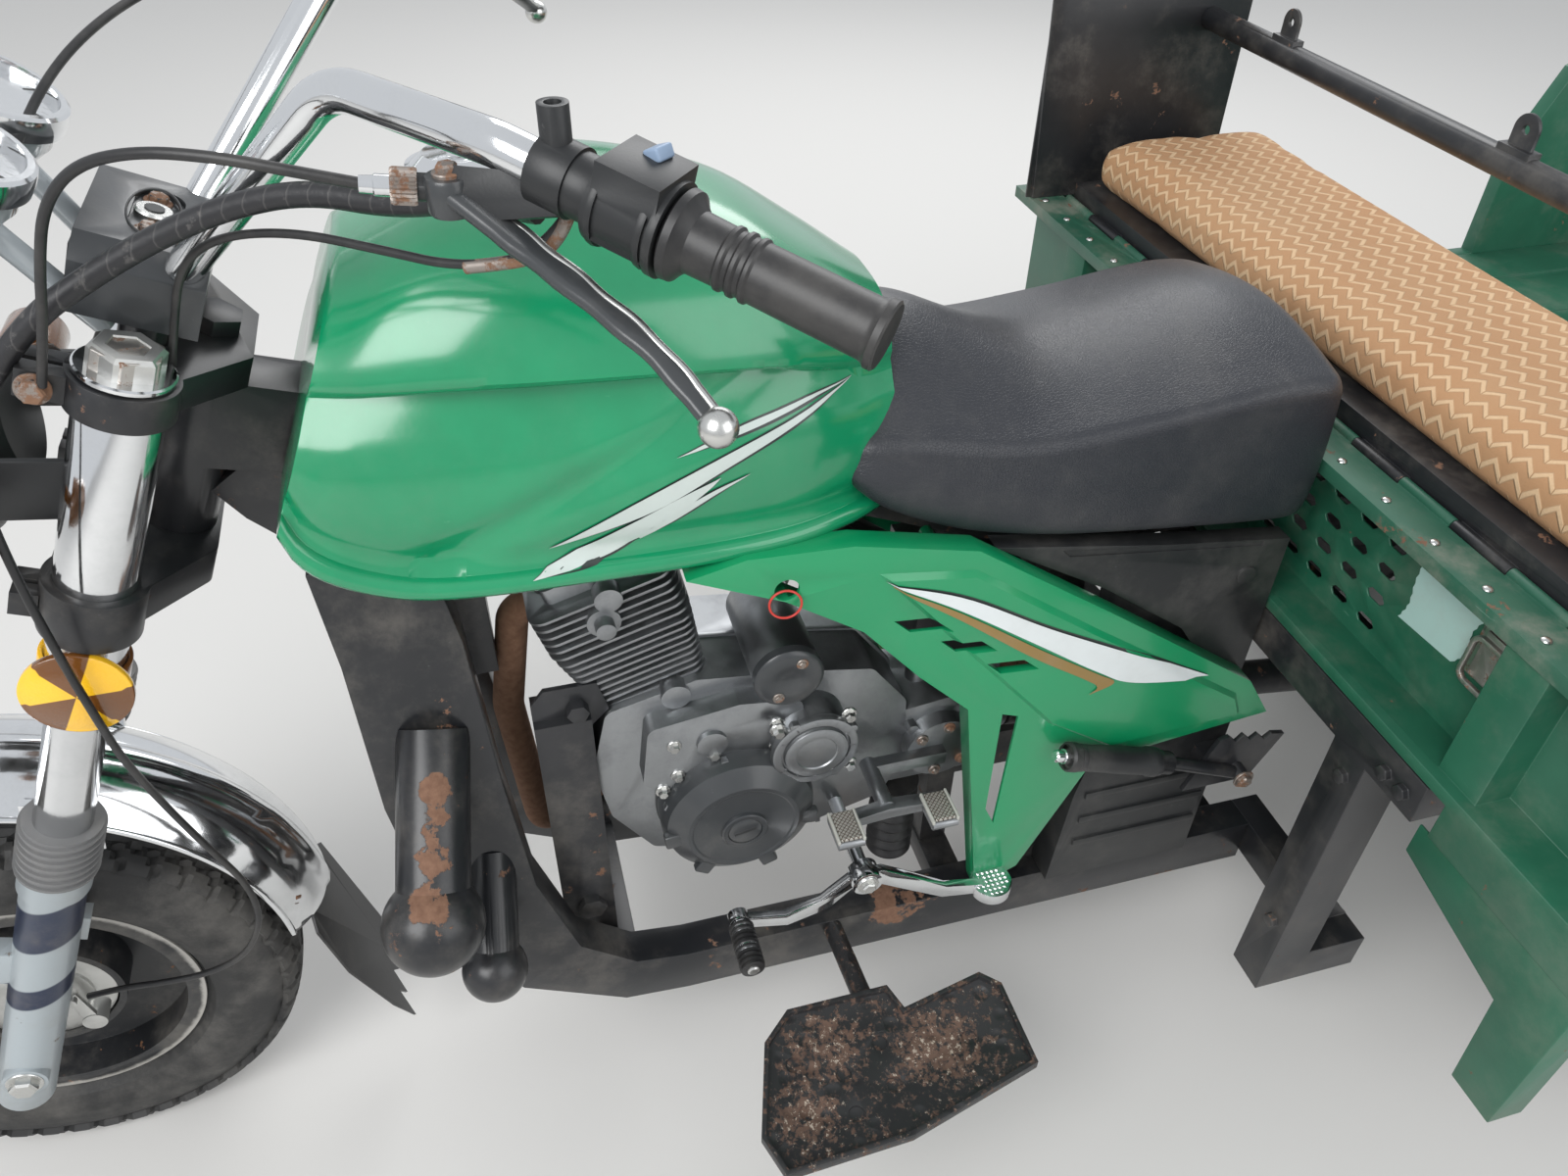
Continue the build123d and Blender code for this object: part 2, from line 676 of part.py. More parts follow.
def engine_case():
    """Crankcase halves, the round covers on both sides and the sump with its cooling ribs."""
    outline = [
        (655, 430), (700, 360), (790, 334), (880, 340), (985, 372), (1010, 440),
        (1004, 530), (960, 590), (880, 606), (760, 622), (660, 596), (640, 510),
    ]
    case = side_plate(outline, *engine_x, corner=14)
    seam = side_plate([(d + (d - 825) * 0.02, z + (z - 480) * 0.02) for d, z in outline], -3, 3, corner=14)
    case += seam
    left = facing_left(engine_x[1], *magneto)
    case += left * (Cylinder(88, 34, align=LOW) + Pos(0, 0, 34) * Cylinder(84, 10, align=LOW))
    case += left * Pos(0, 0, 44) * Cone(84, 62, 16, align=LOW)
    case += left * Pos(0, 0, 60) * Cylinder(22, 4, align=LOW)
    case -= left * Pos(0, 0, 62) * Box(26, 4, 6)
    for angle in (200, 245, 290):
        case -= left * Rot(0, 0, angle) * Pos(92, 0, 58) * Rot(0, 35, 0) * Box(30, 46, 30)
    upper = [(690, 500), (700, 585), (800, 600), (870, 590), (880, 470), (760, 470)]
    case += side_plate(upper, 70, 96, corner=12)
    case += facing_left(96, 768, 552) * Cylinder(17, 6, align=LOW)
    case += facing_left(70, *sprocket) * Cylinder(46, 48, align=LOW)
    case += facing_left(118, *sprocket) * Cylinder(36, 5, align=LOW)
    case += cover_bolts(112, sprocket, 48, (30, 120, 210, 300))
    case += cover_bolts(100, magneto, 84, (40, 100, 160, 330))
    starter = rod(at(-20, 850, 640), at(104, 850, 640), 37)
    starter += rod(at(104, 850, 640), at(112, 850, 640), 31)
    case += starter + block((-20, 80), (838, 862), (590, 640))
    right = facing_left(engine_x[0], *clutch) * Rot(180, 0, 0)
    case += right * (Cylinder(104, 50, align=LOW) + Pos(0, 0, 50) * Cone(104, 84, 18, align=LOW))
    case += right * Pos(92, 40, 0) * Cylinder(20, 56, align=LOW)
    for step in range(5):
        rib = 770.0 + 34 * step
        case += block((-56, 56), (rib, rib + 6), (322, 346))
    return case


barrel_fins = 9
head_fins = 6
fin_pitch = 10.5
fin_thickness = 3.2


def engine_barrel():
    """The finned cylinder and head, the rocker cover, the plug and the two ports."""
    shape = Cylinder(46, 120, align=LOW)
    shape += extrude(RectangleRounded(112, 118, 12), 14)
    for level in range(barrel_fins):
        width = 118 + 3.0 * level
        fin = extrude(RectangleRounded(width, width + 6, 16), fin_thickness)
        shape += Pos(0, 0, 20 + fin_pitch * level) * fin
    head_foot = 20 + fin_pitch * barrel_fins
    shape += Pos(0, 0, head_foot) * extrude(RectangleRounded(104, 112, 10), 78)
    for level in range(head_fins):
        fin = extrude(RectangleRounded(148, 152, 18), fin_thickness)
        shape += Pos(0, 0, head_foot + 4 + fin_pitch * level) * fin
    top = head_foot + 72
    shape += Pos(0, 0, top) * extrude(RectangleRounded(96, 122, 14), 16, taper=12)
    for x, y in ((-42, -44), (42, -44), (-42, 44), (42, 44)):
        shape += Pos(x, y, 6) * Cylinder(9, top, align=LOW)
        shape += hex_bolt(Plane(origin=(x, y, top + 4)), 8, 12)
    plug = Pos(50, -8, head_foot + 36)
    plug_head = Cylinder(17, 30, align=LOW) + Pos(0, 0, 30) * Cylinder(10, 14, align=LOW)
    shape += plug * Rot(0, 90, 0) * plug_head
    window = Pos(62, 6, head_foot + 60)
    shape += window * Rot(0, 90, 0) * Cylinder(14, 18, align=LOW)
    shape += Pos(50, 20, 12) * Rot(0, 90, 0) * Cylinder(16, 26, align=LOW)
    port = Plane(origin=(0, -50, head_foot + 26), z_dir=(0, -1, 0.1))
    shape += port * (Cylinder(25, 26, align=LOW) + Pos(0, 0, 20) * Box(74, 30, 8))
    inlet = Plane(origin=(0, 50, head_foot + 30), z_dir=(0, 1, 0.25))
    shape += inlet * Cylinder(22, 34, align=LOW)
    return CYLINDER.location * shape


exhaust_radius = 17.0
muffler_radius = 48.0


def exhaust():
    """The rusty header round the engine's front and the muffler along the right side."""
    start = CYLINDER.from_local_coords(Vector(0, -70, 20 + fin_pitch * barrel_fins + 28))
    points = [
        start, at(-4, 584, 700), at(-10, 562, 560), at(-30, 575, 330),
        at(-120, 640, 262), at(-190, 760, 285), at(-225, 1065, 285),
    ]
    header = pipe(points, exhaust_radius, [26, 70, 60, 50, 60])
    axis = (at(-225, 1065, 285), at(-232, 1390, 285))
    along = (axis[1] - axis[0]).normalized()
    muffler = rod(axis[0], axis[1], muffler_radius)
    entry = Plane(origin=axis[0] - along * 40, z_dir=along)
    muffler += entry * Cone(exhaust_radius, muffler_radius, 40, align=LOW)
    muffler += rod(axis[1], axis[1] + along * 10, muffler_radius - 12)
    muffler += rod(axis[1] + along * 10, axis[1] + along * 40, 16, 12)
    for reach in (70.0, 230.0):
        muffler += rod(axis[0] + along * reach, axis[0] + along * (reach + 18), muffler_radius + 3)
    hanger = block((-232, -143), (1290, 1310), (205, 245))
    return header + muffler + hanger


def gearbox():
    """The reverse gearbox behind the crankcase with its two-pad lever."""
    outline = [(985, 392), (1090, 392), (1112, 430), (1112, 500), (1060, 520), (985, 510)]
    body = side_plate(outline, -34, 70, corner=8)
    body += facing_left(70, 1048, 456) * Cylinder(44, 20, align=LOW)
    for distance, z in ((1012, 488), (1084, 488), (1084, 424), (1012, 424)):
        body += hex_bolt(facing_left(70, distance, z), 8, 12)
    body += rod(at(20, 1108, 450), at(20, 1150, 445), 34)
    body += rod(at(20, 1036, 515), at(20, 1036, 545), 14)
    lever = rod(at(88, 955, 455), at(158, 955, 455), 10)
    arm = block((90, 104), (955, 1048), (446, 464))
    bar = side_plate([(888, 440), (955, 446), (1025, 446), (1025, 456), (955, 462), (888, 450)], 150, 166)
    pads = Part()
    for distance in (900.0, 1010.0):
        pad = Pos(at(178, distance, 456)) * Rot(90, 0, 0) * extrude(SlotOverall(46, 12), 15, both=True)
        pads += pad
    return body + lever + arm + bar + pads


# Body pieces


tank_stations = [
    # distance, half width and height below, shoulder half width and height, crest
    (400.0, 118.0, 975.0, 84.0, 1080.0, 1108.0),
    (452.0, 136.0, 902.0, 96.0, 1098.0, 1134.0),
    (530.0, 142.0, 858.0, 103.0, 1110.0, 1152.0),
    (660.0, 150.0, 850.0, 106.0, 1104.0, 1149.0),
    (800.0, 142.0, 846.0, 92.0, 1080.0, 1126.0),
    (935.0, 104.0, 844.0, 54.0, 1018.0, 1042.0),
]
tank_front = 120.0      # the tank's front face behind the fork's plane
tank_seam = 8.0         # how far the seam flange stands out


def fuel_tank():
    """The pressed shell, its flat front face and the seam flange along its lower edge."""
    stations = tank_stations
    tank = loft([body_section(*station) for station in stations])
    front = Pos(0, tank_front - 200, 760) * Box(400, 400, 600)
    tank -= on_fork(front)
    lower = [(station[0], station[2]) for station in stations[1:]]
    upper = [(distance, z + sheet) for distance, z in reversed(lower)]
    band = side_plate(lower + upper, -220, 220)
    left = [(station[1] + tank_seam, station[0]) for station in stations[1:]]
    right = [(-x, distance) for x, distance in reversed(left)]
    plan = Polygon(*left, *right, align=None)
    column = Pos(0, front_axle_y, 800) * extrude(plan, 200)
    seam = (band & column) - on_fork(front)
    tunnel = strip([
        (0.0, 420.0, 925.0, -14.0, 2 * tank_tunnel_half, 150.0),
        (0.0, 960.0, 800.0, -14.0, 2 * tank_tunnel_half, 150.0),
    ])
    tap = rod(at(-60, 850, 846), at(-60, 850, 812), 11) + rod(at(-60, 850, 825), at(-105, 850, 825), 8)
    return tank + seam - tunnel + tap


saddle_stations = [
    # distance, half width, lower edge, shoulder height, half width of the top, its height
    (912.0, 62.0, 930.0, 1010.0, 34.0, 1034.0),
    (960.0, 96.0, 872.0, 980.0, 60.0, 1010.0),
    (1020.0, 122.0, 828.0, 952.0, 80.0, 984.0),
    (1110.0, 138.0, 804.0, 922.0, 92.0, 956.0),
    (1210.0, 144.0, 788.0, 928.0, 98.0, 972.0),
    (1300.0, 147.0, 778.0, 948.0, 108.0, 1002.0),
    (1380.0, 147.0, 772.0, 950.0, 112.0, 1000.0),
    (1396.0, 138.0, 772.0, 930.0, 104.0, 976.0),
]
saddle_round = 20.0


def saddle():
    """The long seat: a nose over the tank's tail, a dip and a raised back."""
    sections = []
    for distance, half, low, shoulder, crest_half, crest in saddle_stations:
        outline = [(half, low), (half, shoulder), (crest_half, crest)]
        face = hull_section(distance, outline)
        upper = face.vertices().filter_by(lambda v: v.Z > low + 1)
        sections.append(fillet(upper, saddle_round))
    return loft(sections)


cover_outer = 170.0     # the covers' outer face
cover_wall = 4.0
cover_depth = 26.0


def side_cover():
    """A moulded panel with a turned rim, louvres, a tall recess and a raised facet."""
    outline = [
        (735, 843), (790, 856), (890, 852), (1015, 822), (1170, 714), (1385, 560),
        (1425, 500), (1290, 484), (1200, 470), (1132, 303), (1080, 276), (1030, 606),
        (970, 668), (905, 745), (826, 800),
    ]
    face = Plane.YZ * Polygon(*outline, align=None)
    inner = offset(face, amount=-cover_wall, kind=Kind.INTERSECTION)
    low = cover_outer - cover_depth
    shell = extrude(face, cover_depth, dir=(1, 0, 0))
    shell = Pos(low, front_axle_y, 0) * shell
    hollow = extrude(inner, cover_depth - cover_wall, dir=(1, 0, 0))
    shell -= Pos(low, front_axle_y, 0) * hollow
    raised = [(915, 815), (1015, 800), (1165, 690), (1370, 545), (1385, 510), (1215, 500), (1130, 560)]
    facet = Plane.YZ * Polygon(*raised, align=None)
    facet = extrude(facet, 6, dir=(1, 0, 0), taper=40)
    shell += Pos(cover_outer, front_axle_y, 0) * facet
    for step in range(3):
        distance = 935.0 + 52 * step
        z = 752.0 - 38 * step
        slot = [(distance, z), (distance + 42, z - 4), (distance + 62, z - 22), (distance + 18, z - 18)]
        shell -= side_plate(slot, low - 2, cover_outer + 8)
    recess = [(1072, 588), (1092, 580), (1088, 400), (1074, 430)]
    shell -= side_plate(recess, cover_outer - cover_wall - 1, cover_outer + 8)
    hole = facing_left(low, 827, 814) * Cylinder(12, 60)
    shell -= hole
    peg = rod(at(cover_outer - 2, 1180, 560), at(76, 1180, 560), 8)
    lug = rod(at(cover_outer - 2, 1000, 780), at(76, 1000, 780), 7)
    return shell + peg + lug


def rear_cover():
    """The black panel behind the green one, with a crease and a round boss."""
    outline = [(1045, 800), (1240, 766), (1392, 746), (1392, 500), (1290, 640), (1180, 720)]
    face = Plane.YZ * Polygon(*outline, align=None)
    inner = offset(face, amount=-cover_wall, kind=Kind.INTERSECTION)
    outer = cover_outer - cover_depth - seat_gap
    depth = 22.0
    shell = Pos(outer - depth, front_axle_y, 0) * extrude(face, depth, dir=(1, 0, 0))
    shell -= Pos(outer - depth, front_axle_y, 0) * extrude(inner, depth - cover_wall, dir=(1, 0, 0))
    crease = [(1120, 782), (1360, 748), (1360, 742), (1130, 772)]
    shell -= side_plate(crease, outer - 2, outer + 2)
    shell += rod(at(outer - 1, 1350, 705), at(outer + 3, 1350, 705), 11)
    peg = rod(at(outer - 2, 1250, 740), at(75, 1250, 740), 8)
    return shell + peg


def battery_box():
    """The tool box between the lower rail and the covers, stepped and ribbed."""
    low = rail_centre_z + rail_height / 2
    box = side_plate([(1190, low), (1392, low), (1392, 486), (1212, 470), (1200, 400)], 96, 156)
    for z in (300.0, 345.0, 390.0):
        box += block((156, 159), (1215, 1385), (z, z + 10))
    return box


bush_height = 287.0


def engine_mount(case):
    """The front upright channel with its rubber bush, and the post under the gearbox."""
    channel = block((28, 78), (585, 645), (215, 600))
    channel -= block((33, 73), (592, 650), (250, 560))
    ear = side_plate([(585, 560), (625, 560), (665, 600), (655, 640), (600, 640), (585, 620)], 60, 66)
    bolt = hex_bolt(facing_left(66, 632, 612), 12, 14)
    bush = rod(at(34, 618, bush_height), at(72, 618, bush_height), 27)
    bush += hex_bolt(facing_left(72, 618, bush_height), 17, 16)
    post = block((0, 40), (1062, 1098), (215, 395))
    return (channel + ear + bolt + bush - case) + post


def shift_lever():
    """The heel-and-toe lever: a wavy flat bar, a rubber peg ahead and a round pad behind."""
    top = [(775, 352), (830, 338), (872, 352), (905, 382), (945, 384), (985, 356), (1030, 322), (1085, 308)]
    low = [(1085, 292), (1026, 304), (972, 340), (940, 362), (908, 362), (880, 334), (832, 320), (775, 336)]
    bar = side_plate(top + low, 180, 190)
    bar += rod(at(190, 775, 344), at(176, 775, 344), 12)
    peg = rod(at(190, 775, 344), at(244, 775, 344), 9)
    for step in range(6):
        peg += rod(at(196 + 8 * step, 775, 344), at(200 + 8 * step, 775, 344), 13)
    pad = Pos(at(185, 1092, 300)) * Cylinder(25, 16)
    boss = rod(at(70, 925, 373), at(196, 925, 373), 9)
    boss += rod(at(172, 925, 373), at(196, 925, 373), 18)
    return bar + peg + pad + boss


def brake_pedal():
    arm = pipe([at(-252, 990, 222), at(-252, 725, 222), at(-252, 700, 330)], 8, [40])
    pad = block((-286, -222), (674, 726), (330, 342))
    side = rail_centre_x + rail_width / 2
    return arm + pad + rod(at(-side, 990, 222), at(-260, 990, 222), 11)


def carburettor():
    """The carburettor and its rubber joint behind the cylinder, with the float bowl below."""
    start = CYLINDER.from_local_coords(Vector(0, 84.5, 20 + fin_pitch * barrel_fins + 38))
    along = (CYLINDER.location * Pos(0, 1, 0.25)).position - CYLINDER.location.position
    along = along.normalized()
    body = rod(start, start + along * 30, 27)
    body += rod(start + along * 30, start + along * 86, 24)
    middle = start + along * 55
    body += rod(middle - Vector(0, 0, 62), middle, 24)
    body += rod(middle, middle + Vector(0, 0, 52), 21)
    body += rod(middle - Vector(0, 0, 76), middle - Vector(0, 0, 62), 12)
    body += rod(middle, middle + Vector(44, 0, 0), 9)
    return body


def air_hose():
    """The rubber intake from the carburettor to the air box under the saddle."""
    start = CYLINDER.from_local_coords(Vector(0, 84.5, 20 + fin_pitch * barrel_fins + 38))
    along = (CYLINDER.location * Pos(0, 1, 0.25)).position - CYLINDER.location.position
    start = start + along.normalized() * (86 + seat_gap)
    box = block((-62, 40), (1020, 1140), (560, 684))
    hose = rod(start, at(-8, 1024, 660), 28)
    for step in range(3):
        ringed = start + (at(-8, 1024, 660) - start) * (0.25 + 0.2 * step)
        hose += rod(ringed, ringed + along.normalized() * 7, 32)
    return hose + box


def drive_boot():
    """The ribbed rubber boot on the gearbox's lower outlet."""
    boot = Part()
    for step in range(7):
        z = 372.0 - 18 * step
        boot += Pos(at(52, 1010, z - 18)) * Cone(30, 24, 9, align=LOW)
        boot += Pos(at(52, 1010, z - 9)) * Cone(24, 30, 9, align=LOW)
    return boot


def kick_lever():
    """The kick start on the right side, folded against the engine."""
    shaft = rod(at(-140, 905, 470), at(-176, 905, 470), 12)
    arm = pipe([at(-170, 905, 470), at(-188, 940, 560), at(-188, 985, 632)], 8, [60])
    tread = rod(at(-182, 985, 632), at(-236, 985, 632), 10)
    return shaft + arm + tread + rod(at(-70, 905, 470), at(-140, 905, 470), 16)


def tank_cap():
    """The filler cap: a skirt, a domed lid and the lock's flap."""
    place = Plane(origin=at(0, 600, 1146), z_dir=(0, 0.03, 1))
    cap = Cylinder(40, 14, align=LOW) + Pos(0, 0, 14) * Cone(36, 26, 9, align=LOW)
    return place * (cap + Pos(0, 0, 20) * Box(14, 34, 10))


def fork_reflector(x):
    """A band round the shroud that carries the round reflector on its outer side."""
    middle = shroud_foot + 24
    band = fork_post(x, 0, middle - 12, middle + 12, shroud_radius + 4)
    band -= fork_post(x, 0, middle - 20, middle + 20, shroud_radius)
    side = 1 if x > 0 else -1
    disc = Cylinder(42, 7, align=LOW) + Pos(0, 0, 7) * Cone(38, 34, 3, align=LOW)
    disc = Rot(0, side * 90, 0) * disc
    return band + Pos(x + side * (shroud_radius + 3), 0, middle) * disc


def front_brake_plate():
    """The drum's cover plate with its cam boss and the arm that the cable pulls."""
    plate = ring(22, 30, drum_radius - drum_wall - 2) + ring(27, fork_spread - leg_radius, 20)
    plate += ring(30, 34, 52)
    plate -= ring(0, 100, spindle_radius + shaft_gap)
    plate += Pos(0, 46, -34) * ring(30, 56, 13)
    arm = Plane.YZ.offset(50) * Polygon((38, -40), (54, -40), (44, 22), (32, 22), align=None)
    plate += extrude(arm, 5, dir=(1, 0, 0))
    plate += rod((47, 37, 16), (62, 37, 16), 7)
    plate += Pos(0, -52, 30) * ring(28, 44, 11)
    return Pos(0, front_axle_y, front_axle_z) * plate


def footplate():
    """A pressed plate with a rolled rim, round dimples and the stub that carries it."""
    outline = [
        (268, 810), (300, 775), (400, 745), (445, 760), (440, 900), (400, 1060),
        (300, 1060), (280, 1040), (300, 940), (268, 930),
    ]
    plane = Plane(origin=at(0, 0, 262))
    face = Polygon(*outline, align=None)
    plate = extrude(plane * face, 6)
    rim = face - offset(face, amount=-5, kind=Kind.INTERSECTION)
    plate += extrude(plane * rim, 13)
    dimples = ((330, 800), (385, 800), (355, 850), (400, 850), (330, 900), (380, 900), (350, 1000))
    for x, distance in dimples:
        plate -= Pos(at(x, distance, 265)) * Cylinder(9, 8, align=LOW)
    stub = rod(at(rail_centre_x + rail_width / 2 - 4, 905, 222), at(320, 905, 258), 12)
    stay = block((292, 330), (880, 930), (244, 262))
    return plate + stub + stay


def handbrake():
    """The lever with its ribbed grip and button, beside the toothed sector plate."""
    front, rear = at(190, 1150, 520), at(190, 1290, 470)
    along = (rear - front).normalized()
    lever = rod(front, rear, 14) + rod(front - along * 14, front, 6)
    for reach in (12.0, 124.0):
        lever += rod(front + along * reach, front + along * (reach + 8), 16)
    lever += rod(rear, at(190, 1400, 420), 8)
    sector = [(1330, 400), (1420, 400), (1450, 470), (1432, 474), (1424, 466), (1412, 478), (1404, 470),
              (1392, 482), (1384, 472), (1372, 484), (1360, 480)]
    plate = side_plate(sector, 178, 184)
    pivot = rod(at(150, 1396, 424), at(202, 1396, 424), 10)
    return lever + plate + pivot + block((156, 178), (1350, 1390), (420, 450))


# Load bed


gate_hinge_x = (-400.0, 400.0)
lid_knuckle_count = 15


def rear_chassis():
    """The ladder under the bed: two rails, five cross-members and the springs' hangers."""
    low = chassis_rail_top - 60
    rail_x = (chassis_rail_x - 25, chassis_rail_x + 25)
    rail = block(rail_x, (bed_front + 60, tail_distance - 60), (low, chassis_rail_top))
    chassis = both(rail)
    width = (-bed_half + 40, bed_half - 40)
    for distance in (bed_front + 60, 1740.0, wheelbase, 2640.0, tail_distance - 100):
        chassis += block(width, (distance, distance + 40), (chassis_rail_top, deck_underside))
    for distance in (wheelbase - spring_reach, wheelbase + spring_reach):
        hanger = block(rail_x, (distance - 20, distance + 20), (low - 90, low))
        ahead, behind = distance - 60, distance + 60
        web = side_plate(
            [(ahead, low), (behind, low), (behind - 40, low - 50), (ahead + 40, low - 50)],
            chassis_rail_x - 3, chassis_rail_x + 3,
        )
        chassis += both(hanger + web)
    return chassis


def bed_legs():
    """The beam in front of the bed and the two legs that stand on the frame's rails."""
    depth = (bed_front, bed_front + 60)
    z = chassis_rail_top - 10
    legs = block((-410, 410), depth, (z, deck_underside))
    column = block((290, 340), depth, (235, z))
    foot = block((rail_centre_x - 22, 340), (1500, 1540), (180, 235))
    foot += block((290, 340), (bed_front, 1540), (180, 235))
    brace = side_plate([(bed_front + 60, 240), (bed_front + 60, 330), (1540, 235), (1500, 235)], 296, 302)
    legs += both(column + foot + brace)
    for x, height in ((330.0, 560.0), (330.0, 300.0), (372.0, 612.0), (398.0, 612.0)):
        bolt = Plane(origin=at(x - 10, bed_front, height), x_dir=(1, 0, 0), z_dir=(0, -1, 0))
        legs += both(hex_bolt(bolt, 9, 7))
    return legs


def leaf_spring():
    """Five leaves clamped over the axle, between two eyes."""
    leaves = Part()
    seat = rear_axle_z + spring_seat
    pitch = leaf_thickness + seat_gap
    reaches = (0.35, 0.56, 0.77, 1.0, 1.0)
    for number, share in enumerate(reaches):
        reach = share * spring_reach
        rise = 95.0 * share ** 2
        level = seat + leaf_thickness / 2 + pitch * number
        path = ThreePointArc(
            at(0, wheelbase - reach, level + rise), at(0, wheelbase, level),
            at(0, wheelbase + reach, level + rise),
        )
        start = Plane(origin=path @ 0, x_dir=(1, 0, 0), z_dir=path % 0)
        leaves += sweep(start * Rectangle(60, leaf_thickness), path=path)
    top = seat + 5 * pitch + 6
    leaves += block((-34, 34), (wheelbase - 38, wheelbase + 38), (seat, top))
    for x in (-39.0, 39.0):
        for distance in (wheelbase - 26, wheelbase + 26):
            leaves += rod(at(x, distance, seat - 40), at(x, distance, top + 6), 6)
    leaves += block((-46, 46), (wheelbase - 38, wheelbase + 38), (top, top + 8))
    return Pos(chassis_rail_x, 0, 0) * leaves


def rear_axle():
    """The axle's tube, its ribbed differential case, spring pads and the brakes' plates."""
    brake = wheel_x - 72
    bulge = ThreePointArc((-92, 40), (0, 105), (92, 40))
    profile = make_face([bulge, Polyline((92, 40), (92, 0), (-92, 0), (-92, 40))])
    shape = revolve(profile, Axis.X) + ring(-10, 10, 116)
    shape += ring(-brake, -90, 36) + ring(90, brake, 36)
    shape += rod((0, -150, 6), (0, -20, 6), 46) + rod((0, -156, 6), (0, -140, 6), 60)
    for side in (-1, 1):
        inner = brake if side > 0 else -brake - 6
        shape += ring(inner, inner + 6, 88)
        shape += Pos(side * chassis_rail_x, 0, spring_seat - 15) * Box(70, 110, 30)
    bore = hub_shaft_radius + shaft_gap
    shape -= ring(wheel_x - 160, wheel_x, bore) + ring(-wheel_x, -wheel_x + 160, bore)
    return Pos(0, rear_axle_y, rear_axle_z) * shape


def drive_shaft():
    """The shaft from the gearbox to the differential, with a yoke at each end."""
    front, rear = at(20, 1150, 445), at(0, wheelbase - 150, rear_axle_z + 6)
    along = (rear - front).normalized()
    shaft = rod(front, rear, 24)
    shaft += rod(front + along * 6, front + along * 40, 33)
    shaft += rod(front + along * 70, front + along * 88, 30)
    return shaft + rod(rear - along * 60, rear - along * 16, 35)


def bed_floor():
    """The deck between the side boards, with shallow grooves and the gate's hinge lugs."""
    z = (deck_underside, deck_underside + deck_thickness)
    floor_end = gate_hinge - tailgate_thickness - 2
    half = bed_half - board_thickness - seat_gap
    floor = block((-half, half), (bench_rear, floor_end), z)
    for column in range(-4, 5):
        if column:
            x = 125.0 * column
            floor -= block((x - 9, x + 9), (bench_rear + 60, floor_end - 60), (z[1] - 3, z[1]))
    axis = Pos(at(0, gate_hinge, gate_hinge_z))
    for x in gate_hinge_x:
        floor += block((x - 20, x + 20), (floor_end, gate_hinge), (z[0], z[1] - 1.5))
        floor += axis * ring(x - 20, x + 20, gate_hinge_radius)
    floor -= axis * ring(-bed_half, bed_half, gate_pin_radius + shaft_gap)
    return floor


slot_length = 26.0
slot_height = 12.0
slot_columns = 11
slot_rows = 4


def bed_front_panel():
    """The slotted panel below the bench, its ledge, corner posts and lower fascia."""
    ledge_z = deck_underside + 15
    ledge = block((-bed_half, bed_half), (bed_front, panel_face), (ledge_z, ledge_z + 4))
    fascia = block((-bed_half, bed_half), (bed_front - 3, bed_front), (ledge_z - 10, ledge_z + 4))
    corner_fascia = block((434, bed_half), (bed_front - 3, bed_front), (deck_underside - 40, ledge_z + 4))
    top = flange_top - sheet
    panel = block((-bed_half, bed_half), (panel_face, panel_face + sheet), (deck_underside, top))
    corner = slot_height / 2 - 1
    half, rise = slot_length / 2, slot_height / 2
    quarter = [(half, rise - corner), (half - corner, rise)]
    outline = quarter + [(-x, y) for x, y in reversed(quarter)]
    outline += [(-x, -y) for x, y in outline]
    for column in range(slot_columns):
        for row in range(slot_rows):
            x = 44.5 * (column - slot_columns // 2)
            z = deck_underside + 44 + 33.3 * row
            plane = Plane(origin=at(x, panel_face - 5, z), x_dir=(1, 0, 0), z_dir=(0, 1, 0))
            panel -= extrude(plane * Polygon(*outline, align=None), 20)
    post = block((400, 450), (bed_front + 11, panel_face), (ledge_z + 4, top))
    return ledge + fascia + panel + both(post + corner_fascia)


def toggle_latch():
    """A latch on the panel: its base, the folded tongue and the pull ring."""
    low = deck_underside + 92
    base = block((348, 396), (panel_face - 3, panel_face), (low, low + 74))
    tongue = block((358, 386), (panel_face - 9, panel_face - 3), (low + 6, low + 58))
    plane = Plane(origin=at(372, panel_face - 9, deck_underside + 116), x_dir=(1, 0, 0), z_dir=(0, -1, 0))
    loop = RectangleRounded(44, 56, 12) - RectangleRounded(34, 46, 8)
    hinge_z = deck_underside + 156
    hinge = rod(at(352, panel_face - 6, hinge_z), at(392, panel_face - 6, hinge_z), 5)
    return base + tongue + extrude(plane * loop, 5) + hinge


def lid_knuckles(first):
    """Every second knuckle of the lid's piano hinge, starting with the given one."""
    pitch = 2 * lid_half / lid_knuckle_count
    axis = Pos(at(0, lid_hinge, lid_hinge_z))
    knuckles = Part()
    for number in range(first, lid_knuckle_count, 2):
        x = -lid_half + pitch * number
        knuckles += axis * ring(x + 0.5, x + pitch - 0.5, lid_hinge_radius)
    return knuckles


